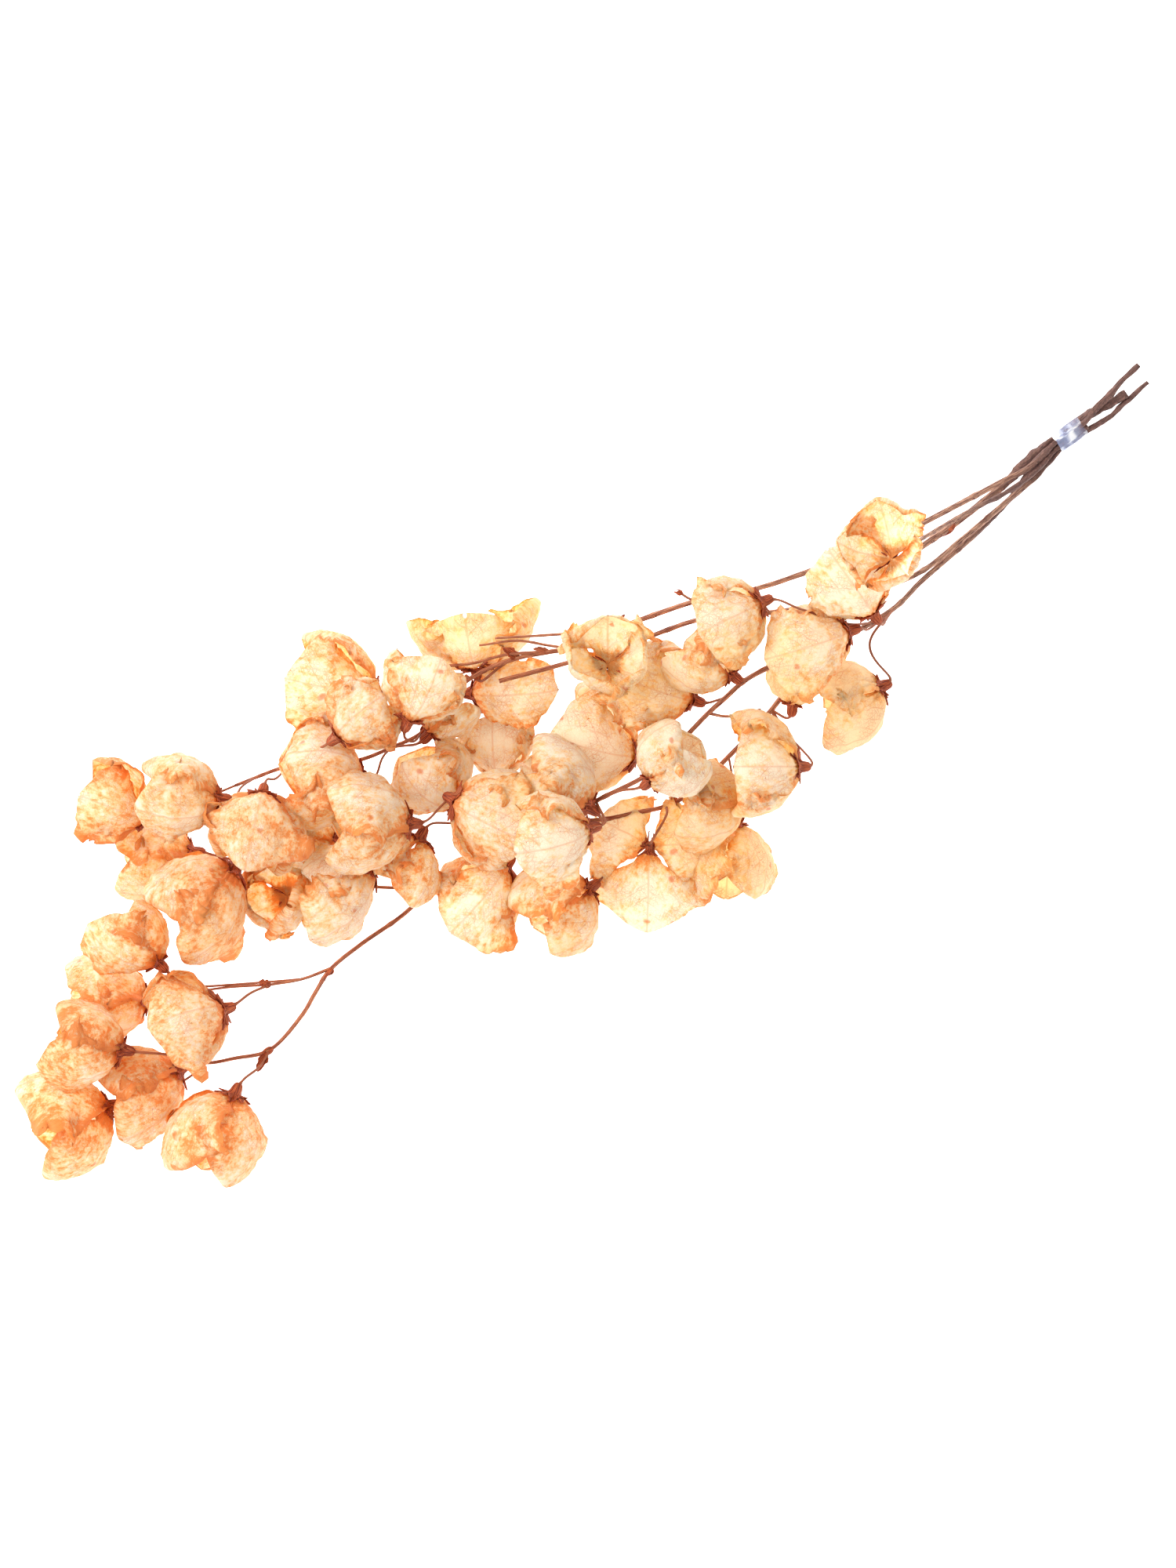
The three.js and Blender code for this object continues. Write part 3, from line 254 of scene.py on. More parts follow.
# Buds and curled scraps of dried leaf: stem, place, height, length, heading.
buds = [
    ("stem_3", 1213, 671, 12.8, 7, 212), ("stem_3", 856, 1026, 19.4, 6, 200),
    ("stem_1", 786, 800, 44.2, 5, 200), ("stem_5", 420, 1240, 25, 5, 230),
    ("stem_5", 343, 1340, 25, 5, 215), ("stem_1", 541, 931, 31.4, 5, 230),
    ("stem_1", 866, 757, 53, 3.4, 160), ("stem_5", 340, 1256, 30.2, 4.4, 170),
]
scraps = [
    ("stem_1", 662, 840, 45, 11, 150), ("stem_1", 702, 832, 44.5, 10, 175),
    ("stem_1", 752, 817, 44.2, 10, 170), ("stem_1", 788, 800, 44.2, 8, 60),
    ("stem_5", 256, 1355, 26.4, 11, 200), ("stem_5", 256, 1355, 26.4, 9, 245),
    ("stem_5", 340, 1343, 25, 12, 245), ("stem_5", 345, 1256, 30, 7, 165),
    ("stem_1", 600, 866, 42, 9, 190), ("stem_3", 860, 1024, 19.4, 8, 110),
]


def evenly(turn, length, width):
    # three equal bracts a third of a turn apart
    return [(turn + step, length, width) for step in (0, 120, 240)]


# Blooms: place and height of the base, stem, where the pedicel leaves it, its places between,
# heading and lift of the axis, spread and bend of the bracts, and the bracts as place round the
# axis, length, width and, where it differs, spread. A last value makes the tuft smaller.
bloomRows = {
    "a1": ((137, 1412, 22), "stem_5", (262, 1356), [(236, 1378, 12), (196, 1398, 12)],
           197, 0, 36, 1.7, [(-55, 100, 98), (70, 98, 92), (180, 96, 86)]),
    "a2": ((228, 1364, 20), "stem_5", (262, 1356), [(246, 1358, 22)],
           207, 0, 33, 1.5, [(-60, 92, 84), (50, 96, 80), (170, 84, 66)]),
    "a3": ((300, 1395, 38), "stem_5", (343, 1340), [(332, 1362, 31)],
           246, 0, 24, 1.8, [(-60, 104, 86), (60, 98, 82), (180, 94, 78)]),
    "a4": ((287, 1287, 40), "stem_5", (345, 1256), [(312, 1270, 38)],
           199, 4, 34, 1.7, [(-12, 96, 92), (-128, 92, 78), (112, 84, 74)]),
    "a5": ((158, 1338, 40), "stem_5", (240, 1350), [(205, 1343, 36)],
           168, 0, 29, 1.6, [(-60, 80, 72), (55, 98, 78), (180, 70, 60, 20)]),
    "a6": ((187, 1275, 12), "stem_5", (345, 1256), [(270, 1262, 20)],
           178, 0, 24, 1.7, [(-60, 98, 86), (60, 98, 80), (180, 84, 70)]),
    "a7": ((203, 1228, 34), "stem_5", (385, 1249), [(300, 1256, 22), (240, 1258, 26)],
           135, 0, 31, 1.6, [(-60, 72, 80), (35, 90, 74), (135, 60, 62)]),
    "b1": ((188, 1045, 37), "stem_1", (300, 1002), [(262, 1018, 22), (228, 1036, 26)],
           159, 4, 31, 1.6, [(-112, 88, 74), (2, 82, 84), (118, 70, 64, 24)]),
    "b2": ((282, 1018, 48), "stem_1", (325, 992), [(306, 1006, 40)],
           176, 5, 21, 1.9, [(35, 88, 78), (155, 78, 72), (275, 84, 76)]),
    "b3": ((336, 1014, 47), "stem_1", (365, 978), [(352, 994, 30)],
           258, 4, 31, 2.2, [(0, 86, 84), (120, 84, 78), (240, 76, 72)]),
    "b4": ((245, 1088, 14), "stem_5", (335, 1103), [(310, 1098, 12), (275, 1094, 12)],
           184, 0, 27, 1.7, [(-60, 92, 76), (60, 92, 74), (180, 80, 70)]),
    "b5": ((300, 1106, 31), "stem_5", (335, 1103), [(314, 1101, 24)],
           220, 2, 30, 1.6, [(-50, 102, 82), (55, 116, 90), (180, 90, 76)]),
    "c1": ((462, 994, 36), "stem_1", (500, 953), [(484, 970, 34)],
           175, 6, 26, 1.9, [(-30, 94, 90), (80, 104, 84), (200, 88, 78)]),
    "c2": ((525, 1050, 52), "stem_3", (612, 1029), [(588, 1012, 38), (560, 1030, 48)],
           178, 3, 29, 1.7, [(-45, 102, 80), (65, 106, 68), (180, 84, 62)]),
    "c3": ((475, 1103, 34), "stem_5", (553, 1133), [(526, 1128, 22), (502, 1118, 33)],
           208, 0, 32, 1.5, [(-50, 82, 72), (50, 110, 82), (150, 104, 60)]),
    "c4": ((365, 1144, 9), "stem_5", (440, 1126), [(402, 1138, 4)],
           170, 74, 29, 2, evenly(20, 68, 70)),
    "c5": ((428, 1068, 22), "stem_5", (440, 1126), [(446, 1090, 16)],
           185, 2, 29, 1.6, [(-60, 60, 58), (60, 58, 56)]),
    "c6": ((536, 1068, 36), "stem_3", (640, 1034), [(590, 1050, 24)],
           242, 0, 29, 1.5, [(-60, 66, 62), (50, 80, 58)]),
    "c7": ((582, 1024, 26), "stem_3", (640, 1034), [(606, 1028, 27)],
           132, 4, 25, 1.9, evenly(30, 80, 76)),
    "d1": ((478, 884, 23), "stem_1", (540, 850), [(508, 868, 28)],
           168, 4, 30, 1.6, [(-102, 96, 76), (6, 110, 94), (114, 88, 68)]),
    "d2": ((432, 940, 54), "stem_1", (400, 975), [(398, 958, 44)],
           38, 5, 24, 1.9, evenly(8, 75, 66)),
    "d3": ((522, 920, 58), "stem_1", (537, 935), [(528, 947, 46)],
           68, 4, 33, 1.5, [(92, 80, 70), (-12, 86, 82), (-118, 80, 66)]),
    "d4": ((548, 936, 36), "stem_1", (500, 953), [(524, 950, 32)],
           48, 0, 29, 1.6, [(-60, 56, 54), (60, 50, 50)]),
    "d5": ((607, 852, 30), "stem_1", (650, 843), [(636, 852, 42)],
           97, 6, 54, 1.4, [(96, 88, 76), (5, 76, 84), (-92, 94, 84)]),
    "d6": ((600, 884, 18), "stem_1", (560, 905), [(574, 900, 28)],
           4, 2, 24, 1.7, [(-6, 104, 50), (172, 84, 44)]),
    "e1": ((636, 992, 11), "stem_3", (640, 1034), [(642, 1014, 13)],
           92, 4, 28, 1.7, [(8, 76, 84), (-100, 72, 64), (116, 70, 62)]),
    "e2": ((580, 1020, 45), "stem_3", (640, 1034), [(604, 1026, 38)],
           -24, 6, 34, 1.5, [(92, 94, 84), (-10, 100, 96), (-112, 94, 76)]),
    "e3": ((752, 1030, 42), "stem_3", (775, 1045), [(768, 1052, 38)],
           147, 0, 26, 1.7, [(-60, 92, 76), (60, 100, 74), (180, 84, 66)]),
    "e4": ((752, 1056, 65), "stem_5", (760, 1022), [(770, 1042, 54)],
           192, 6, 32, 1.6, [(-92, 84, 70), (14, 92, 76), (122, 66, 60)]),
    "e5": ((645, 1104, 23), "stem_5", (700, 1062), [(668, 1090, 25)],
           228, 4, 32, 1.6, [(-96, 84, 74), (6, 104, 92), (108, 92, 74)]),
    "e6": ((752, 1133, 26), "stem_3", (815, 1036), [(796, 1078, 17), (772, 1112, 21)],
           214, 0, 31, 1.8, [(-60, 92, 76), (60, 84, 76), (180, 76, 68)]),
    "f1": ((775, 848, 50), "stem_4", (820, 815), [(792, 834, 40)],
           90, 74, 41, 1.3, evenly(60, 74, 76)),
    "f2": ((885, 893, 36), "stem_5", (925, 890), [(905, 896, 38)],
           160, 4, 31, 1.6, [(-102, 84, 72), (6, 94, 92), (114, 84, 72)]),
    "f3": ((812, 963, 17), "stem_5", (830, 985), [(820, 980, 26)],
           163, 4, 37, 1.6, [(-100, 92, 84), (8, 116, 102), (116, 92, 80)]),
    "f4": ((829, 996, 57), "stem_5", (760, 1022), [(800, 1006, 54)],
           40, 5, 30, 2.1, evenly(62, 68, 80)),
    "f5": ((933, 862, 50), "stem_5", (995, 845), [(962, 858, 50)],
           143, 0, 31, 1.7, [(-60, 66, 62), (60, 78, 70), (180, 66, 60)]),
    "g1": ((828, 1080, 28), "stem_3", (850, 1028), [(850, 1042, 32)],
           265, -80, 78, 1.3, [(-115, 74, 80), (98, 66, 72), (4, 96, 86)], 0.45),
    "h1": ((970, 770, 62), "stem_5", (1110, 792), [(1080, 797, 48), (1040, 784, 57), (1005, 774, 61)],
           205, 2, 38, 1.5, [(-104, 72, 66), (2, 88, 80), (108, 74, 66)]),
    "h2": ((1134, 716, 69), "stem_2", (1168, 692), [],
           130, 70, 62, 1.4, [(212, 66, 58), (142, 66, 56), (-2, 54, 50)]),
    "h3": ((1112, 784, 50), "stem_5", (1140, 776), [(1128, 792, 40)],
           126, 8, 26, 1.8, [(0, 88, 86), (122, 70, 64), (240, 86, 76)]),
    "h4": ((1082, 806, 48), "stem_5", (1140, 776), [(1104, 806, 39)],
           197, 6, 28, 1.6, [(-100, 80, 56), (4, 108, 76), (112, 74, 52)]),
    "h5": ((1012, 899, 25), "stem_3", (985, 905), [(1002, 916, 20)],
           80, 4, 33, 1.5, [(60, 54, 60), (-60, 38, 38)]),
    "h6": ((1124, 876, 21), "stem_5", (1140, 776), [(1106, 822, 28), (1122, 850, 26)],
           202, 0, 32, 1.7, [(-60, 84, 76), (60, 84, 78), (180, 62, 54)]),
    "i1": ((1018, 978, 46), "stem_3", (985, 905), [(1004, 936, 22), (1028, 962, 36)],
           180, 6, 40, 1.5, [(-98, 96, 80), (0, 88, 88), (98, 84, 74)]),
    "i2": ((952, 1025, 33), "stem_3", (985, 905), [(1000, 960, 20), (975, 1016, 30)],
           180, 0, 33, 1.6, [(-60, 86, 76), (50, 86, 78), (180, 70, 62)]),
    "i3": ((935, 1050, 12.3), "stem_3", (930, 965), [(938, 1010, 14)],
           265, 0, 27, 1.7, [(-60, 90, 60), (60, 88, 60), (180, 84, 54)]),
}
bloomKeys = ("at", "stem", "root", "by", "heading", "lift", "spread", "bend", "bracts", "tuft")
blooms = {name: dict(zip(bloomKeys, row)) for name, row in bloomRows.items()}

wood = dict(
    stemStep=1.6,          # mm between rings of a stem
    stemSides=14,
    twigSides=9,
    pedicelSides=7,
    pedicelRadius=0.66,
    relax=36,              # times that the bends of a pedicel are evened out
    ridgeDepth=0.07,       # share of the radius
    nodeGap=46,            # mm between the swollen nodes of a stem
    nodeSwell=0.22,
    bark=1.14,             # times that stems and twigs are thicker than their lines say
    bumps=0.05,            # share of the radius, and more on old bark
    oldBumps=0.26,
    roughLength=105,       # mm of rough old bark from the cut end
    cupGap=1.6,            # mm from the base of a bloom back to its cup
    cupDepth=4.6,
    lead=2,                # mm that a pedicel runs straight behind its bloom
)


def smoothLine(places, radii, step):
    # centripetal Catmull-Rom curve through the places, each span split about every step
    ends = np.vstack([2 * places[0] - places[1], places, 2 * places[-1] - places[-2]])
    pull = np.sqrt(np.linalg.norm(np.diff(ends, axis=0), axis=1))
    spans = np.linalg.norm(np.diff(places, axis=0), axis=1)
    counts = np.maximum(1, np.round(spans / step)).astype(int)
    span = np.append(np.repeat(np.arange(len(counts)), counts), len(counts) - 1)
    share = np.append(np.concatenate([np.arange(count) / count for count in counts]), 1)[:, None]
    a, b, c, d = (ends[span + k] for k in range(4))
    before, own, after = (pull[span + k][:, None] for k in range(3))
    start = ((b - a) / before - (c - a) / (before + own) + (c - b) / own) * own
    stop = ((c - b) / own - (d - b) / (own + after) + (d - c) / after) * own
    line = b + start * share + (3 * c - 3 * b - 2 * start - stop) * share ** 2
    line = line + (2 * b - 2 * c + start + stop) * share ** 3
    thick = radii[span] + (radii[span + 1] - radii[span]) * share[:, 0]
    return line, thick


def nearestPoint(line, px, py):
    # the point of a line, split finely, that lies closest to a place seen from above
    target = spot(px, py, 0)
    fine = np.concatenate([line[:-1] + np.diff(line, axis=0) * k / 10 for k in range(10)])
    away = np.hypot(fine[:, 0] - target[0], fine[:, 1] - target[1])
    return away.min(), fine[away.argmin()]


def nearestWood(name, lines, px, py):
    # the nearest point of a stem and of the branches on it
    found = [nearestPoint(line, px, py) for owner, kind, line, thick in lines if owner == name]
    return min(found, key=lambda pair: pair[0])[1]


def lengthsAlong(line):
    return np.append(0, np.cumsum(np.linalg.norm(np.diff(line, axis=0), axis=1)))


def framesAlong(line):
    # along, up-most and sideways unit vectors at each point of a line
    along = unit(np.gradient(line, axis=0))
    lean = np.abs(along[:, 2]).max()
    start = up if lean < 0.9 else np.array([0.36, 0.93, 0.0])
    normal = unit(start - along * (along @ start)[:, None])
    return along, normal, np.cross(along, normal)


def sweep(heap, line, radius, sides, kind, seed, old=0, cut=0):
    # circles carried along a line; radius = given one x (1 + ridges + nodes + bumps of old bark)
    along, normal, side = framesAlong(line)
    length = lengthsAlong(line)[:, None]
    turn = (np.arange(sides) / sides * 2 * np.pi)[None, :]
    ridges = np.sin(5 * turn + 2 * np.sin(length * 0.05 + seed))
    ridges = ridges + 0.7 * np.sin(3 * turn - length * 0.09 + seed * 3)
    bumps = crumple(np.cos(turn) * 2 + length * 0.55, np.sin(turn) * 2 + length * 0.21, seed)
    place = (length + 9 * seed) % wood["nodeGap"] - wood["nodeGap"] / 2
    node = np.exp(-(place / 1.5) ** 2) * (kind < 2)
    old = np.broadcast_to(old, len(line))[:, None]
    swell = 1 + wood["ridgeDepth"] * ridges * (1 + 0.7 * old) + wood["nodeSwell"] * node
    swell = swell + (wood["bumps"] + wood["oldBumps"] * old) * bumps
    reach = radius[:, None] * swell
    ring = line[:, None] + normal[:, None] * (reach * np.cos(turn))[..., None]
    ring = ring + side[:, None] * (reach * np.sin(turn))[..., None]
    ring[..., 2] = np.maximum(ring[..., 2], tableGap)
    paint = painted(reach * turn, length, seed, old, kind, 0)
    points = np.vstack([ring.reshape(-1, 3), line[:1], line[-1:]])
    ends = np.array([[0, 0, seed, 0, kind, cut], [0, length[-1, 0], seed, 0, kind, 0]])
    heap.add(points, tubeFaces(len(line), sides), np.vstack([paint, ends]))


tape = dict(
    middle=(1368, 551), slope=35.5, halfLength=8,
    gap=0.46,                 # mm between the outline of the stems and the film
    film=0.3, sides=90, rows=30, wrinkle=0.07,
    flapStart=5.6, flapHeight=3.4, flapDrop=2.4,   # mm from the tape's middle and over the table
    flapLength=8.5, flapHalf=6.5, flapFilm=0.25,
)


def stemLine(stem):
    # cut end, three places in the tape, then the run through the pile
    along = np.array([math.cos(math.radians(tape["slope"])), -math.sin(math.radians(tape["slope"]))])
    offset, height, radius = stem["bundle"]
    inside = []
    for distance in (tape["halfLength"] + 2, 0, -tape["halfLength"] - 2):
        px = tape["middle"][0] + (along[0] * distance + along[1] * offset) / picture["mmPerPixel"]
        py = tape["middle"][1] + (along[1] * distance - along[0] * offset) / picture["mmPerPixel"]
        inside.append((px, py, height, radius))
    run = [(px, py, height * picture["pile"], radius) for px, py, height, radius in stem["run"]]
    rows = np.array([*stem["butt"], *inside, *run], float)
    return smoothLine(spot(*rows[:, :3].T), rows[:, 3], wood["stemStep"])


def woodLines():
    # the curves of the stems, then those of the branches from the nearest point of their stem
    lines = [(name, 0, *stemLine(stem)) for name, stem in stems.items()]
    for name, run in branches:
        rows = np.array(run, float)
        root = nearestWood(name, lines, *rows[0, :2])
        places = np.vstack([root, pileSpot(*rows[1:, :3].T)])
        lines.append((name, 1, *smoothLine(places, rows[:, 3], wood["stemStep"])))
    return lines


# Bracts.

bracts = dict(
    rows=40, columns=27,      # grid of one face of a bract
    film=0.26,                # thickness of the dried paper
    baseSwell=0.42, tipTaper=0.4,   # powers that round the outline at root and tip
    ridge=0.1, waveHeight=0.11,     # shares of the half width
    waves=1.6, wavesVary=0.5,       # waves along a margin
    cup=0.95, cupVary=0.12, bendVary=0.08,
    closing=0.72, sidePress=0.28,   # share of the spread in the picture, more at the sides
    fullness=1.02, reach=1.16, moreBend=1.3,   # times the width, length and bend given above
    overlap=11, mostRoom=84,  # degrees past the middle of the gap to the next bract, and in all
    leastHalf=0.3, leastRoom=0.8,   # mm
    rounding=6,               # power that eases the outline into the room that it has
    shingle=0.07,             # share of the width by which one margin lies over the next
    rootOffset=0.8,
    ragged=0.11,              # share of the width by which a margin wanders
    tipCurl=4.0,              # mm that a tip turns in or out
    flare=3.9,                # mm that the upper margins stand off
    marginRoll=2.1,           # mm that a margin rolls in or out
    ruffle=1.1,               # mm of the finer waves along a margin
    quilt=0.2,                # mm that the paper stands up between side ribs
    pleat=1.25,               # mm that it stands up between the long nerves
    ribGap=7.2,               # mm between side ribs
    ribLean=0.7, ribArch=0.016,   # they run forward by lean x width + arch x width squared
    ribStagger=0.46,          # share of the gap by which the two sides differ
    nerve=0.25,               # share of the half width between long nerves
    creases=0.6,              # mm of soft crumpling
    folds=0.75,               # mm of sharp-edged folds
)


def whorl(bloom, order):
    # the bracts of a bloom set round its axis; each keeps to the middle of the gaps beside it
    axis = direction(bloom["heading"], bloom["lift"])
    side = unit(np.cross(up, axis))
    top = np.cross(axis, side)
    entries = sorted([((entry[0] + 720) % 360, *entry[1:]) for entry in bloom["bracts"]])
    petals = []
    for index, (turn, length, width, *own) in enumerate(entries):
        sine = math.sin(math.radians(turn))
        outer = top * math.cos(math.radians(turn)) + side * sine
        spread = (own or [bloom["spread"]])[0]
        opening = math.radians(bracts["closing"] * spread * (1 + bracts["sidePress"] * abs(sine)))
        chord = axis * math.cos(opening) + outer * math.sin(opening)
        gaps = [(other[0] - turn + 720) % 360 for k, other in enumerate(entries) if k != index]
        nearest = (min(360 - gap for gap in gaps), min(gaps))
        room = [min(gap / 2 + bracts["overlap"], bracts["mostRoom"]) for gap in nearest]
        seed = order * 7 + index * 1.7
        bend = bloom["bend"] * bracts["moreBend"] * (1 + bracts["bendVary"] * chance(seed + 0.3))
        away = unit(chord * math.cos(opening) - axis)
        petals.append(dict(
            seed=seed, chord=chord, outer=away, across=np.cross(away, chord),
            open=opening, room=room, bend=bend,
            length=length * bracts["reach"] * picture["mmPerPixel"] * (bend / 2) / math.sin(bend / 2),
            half=width * picture["mmPerPixel"] * bracts["fullness"],
            cup=bracts["cup"] + bracts["cupVary"] * chance(seed + 0.7),
            waves=bracts["waves"] + bracts["wavesVary"] * chance(seed + 1.1),
            phase=3.1 * chance(seed + 1.9)))
    return axis, petals


def bractSurface(petal, base, s, t):
    # rib: an arc from root (s = 0) to tip (s = 1). Half width: s^swell (1 - s)^taper, softly kept
    # within the room beside the next bract. Sides (t = -1 to 1) curve round the bloom and wave.
    radius = petal["length"] / petal["bend"]
    turn = petal["bend"] / 2 - petal["bend"] * s
    forward = bracts["rootOffset"] + radius * (math.sin(petal["bend"] / 2) - np.sin(turn))
    outward = radius * (np.cos(turn) - math.cos(petal["bend"] / 2))
    widest = bracts["baseSwell"] / (bracts["baseSwell"] + bracts["tipTaper"])
    full = widest ** bracts["baseSwell"] * (1 - widest) ** bracts["tipTaper"]
    body = petal["half"] * s ** bracts["baseSwell"] * (1 - s) ** bracts["tipTaper"] / full
    away = forward * math.sin(petal["open"]) + outward * math.cos(petal["open"])
    slope = np.tan(np.radians(np.where(t > 0, petal["room"][1], petal["room"][0])))
    lean = np.cos(turn - petal["open"]) * (1 - math.cos(petal["cup"])) / petal["cup"]
    most = slope * away / (math.sin(petal["cup"]) / petal["cup"] + slope * lean)
    body, most = np.maximum(body, bracts["leastHalf"]), np.maximum(most, bracts["leastRoom"])
    half = (body ** -bracts["rounding"] + most ** -bracts["rounding"]) ** (-1 / bracts["rounding"])
    wander = crumple(s * 12, np.sign(t) * 3, petal["seed"] + 5)
    wander = wander + 0.6 * crumple(s * 44, np.sign(t) * 2, petal["seed"] + 6)
    wander = wander - 1.4 * ease(0.55, 0.95, crumple(s * 20, np.sign(t) * 5, petal["seed"] + 10))
    half = half * (1 + bracts["ragged"] * wander * np.abs(t) ** 3)
    angle = petal["cup"] * t
    sideways = half * np.sin(angle) / petal["cup"]
    wave = bracts["waveHeight"] * np.sin(2 * np.pi * petal["waves"] * s + petal["phase"] + 1.7 * np.sign(t))
    drop = half * ((1 - np.cos(angle)) / petal["cup"] + bracts["ridge"] * np.abs(t) - wave * t * t)
    drop = drop - half * bracts["shingle"] * t
    point = base + petal["chord"] * (forward + drop * np.sin(turn))[..., None]
    point = point + petal["outer"] * (outward - drop * np.cos(turn))[..., None]
    return point + petal["across"] * sideways[..., None], half


def relief(petal, half, s, t):
    # outward height of the dried paper: rib, quilting between side ribs, creases, curled edges
    seed = petal["seed"]
    x, y = half * t, petal["length"] * s
    inner = np.minimum(s / 0.12, 1) * np.minimum((1 - s) / 0.06, 1)
    slant = y - bracts["ribLean"] * np.abs(x) - bracts["ribArch"] * x * x
    slant = slant / bracts["ribGap"] + bracts["ribStagger"] * (x < 0)
    quilt = bracts["quilt"] * (np.abs(np.sin(np.pi * slant)) ** 0.7 - 0.5) * inner * ease(0, 2.5, np.abs(x))
    rib = 0.4 * np.exp(-(x / 1.0) ** 2) * inner
    between = (np.abs(t) + 0.03 * np.sin(5 * s + seed)) / bracts["nerve"]
    pleat = bracts["pleat"] * (np.abs(np.sin(np.pi * between)) ** 0.7 - 0.5)
    rib = rib + pleat * inner * ease(0.5, 5, half)
    creases = bracts["creases"] * crumple(x * 0.33, y * 0.27, seed + 2) * (0.5 + t * t) * inner
    creases = creases + bracts["folds"] * folds(x * 0.21, y * 0.2, seed + 7) * inner
    creases = creases + 0.3 * bracts["folds"] * folds(x * 0.5, y * 0.55, seed + 8) * inner
    small = 0.14 * crumple(x * 1.1, y * 0.9, seed + 3) * inner
    wide, way = np.abs(t), np.sign(t)
    roll = bracts["marginRoll"] * crumple(s * 7, way * 2, seed + 4) * np.maximum(wide - 0.55, 0) ** 2 / 0.2
    roll = roll + bracts["ruffle"] * crumple(s * 26, way * 3, seed + 9) * np.maximum(wide - 0.6, 0) / 0.4
    stand = np.maximum(np.abs(t) - 0.5, 0) ** 1.6 / 0.33 * np.where(t > 0, 1, 0.15)
    flare = bracts["flare"] * stand * (0.5 + 0.6 * crumple(s * 6, np.sign(t) * 2, seed + 12))
    tip = bracts["tipCurl"] * (0.3 + 0.7 * chance(seed + 2.2)) * np.maximum(s - 0.72, 0) ** 2 / 0.078
    return quilt + rib + creases + small + (roll + flare) * inner + tip


def bractGrid():
    # rows closer together at root and tip, columns closer together at the margins
    u = np.linspace(0, 1, bracts["rows"])
    s = 0.45 * u + 0.55 * (0.5 - 0.5 * np.cos(np.pi * u))
    t = np.sin(np.linspace(-1, 1, bracts["columns"]) * 1.35) / math.sin(1.35)
    return grid(s, t)


def addBract(heap, petal, base, tone):
    # the surface moved out by its relief, kept over the table and given its thickness
    s, t = bractGrid()
    surface, half = bractSurface(petal, base, s, t)
    surface = surface + normals(surface) * relief(petal, half, s, t)[..., None]
    low = tableGap + bracts["film"]
    height = surface[..., 2]
    surface[..., 2] = np.where(height < low, low + 0.02 * np.tanh(height - low), height)
    paint = painted(half * t, petal["length"] * s, petal["seed"], s, t, tone)
    heap.addSheet(surface, bracts["film"], paint)


def turnedShape(heap, origin, axis, along, radius, sides, paintRow):
    # a profile of distances along an axis and radii round it
    side = unit(np.cross(axis, up if abs(axis[2]) < 0.8 else np.array([1.0, 0, 0])))
    other = np.cross(axis, side)
    turn = np.arange(sides) / sides * 2 * np.pi
    ring = origin + axis * along[:, None, None]
    ring = ring + radius[:, None, None] * (side * np.cos(turn)[:, None] + other * np.sin(turn)[:, None])
    points = np.vstack([ring.reshape(-1, 3), origin + axis * along[0], origin + axis * along[-1]])
    points[:, 2] = np.maximum(points[:, 2], tableGap)
    heap.add(points, tubeFaces(len(along), sides), np.tile(paintRow, (len(points), 1)))


def makeBloom(order, name, bloom):
    # one piece of the bracts and the knot that joins their roots
    axis, petals = whorl(bloom, order)
    base = pileSpot(*bloom["at"])
    tone = float(chance(order * 3.7 + 1.3))
    heap = Heap()
    for petal in petals:
        addBract(heap, petal, base, tone)
    along, radius = np.array([[-1.9, -1.5, -0.6, 0.3, 0.7], [0.5, 1.2, 1.35, 0.9, 0.3]])
    turnedShape(heap, base, axis, along, radius, 10, [0, 0, order, 0, 0, tone])
    makePiece(f"petals_{name}", heap, petalPaper, "petals", f"bloom_{name}")
    return dict(bloom=bloom, axis=axis, petals=petals, base=base, order=order)


# Tufts of pointed scales behind the bracts.

tuft = dict(
    perBract=7, rows=10, columns=5, film=0.22,
    reach=0.18, halfWidth=1.5, lift=0.7, step=0.45,
    inCup=0.45,               # share of a scale that stands in the cup
    flare=1.6,                # mm that the tips stand off the bracts
    cup=3.5,                  # mm that the cup widens towards the bracts
)


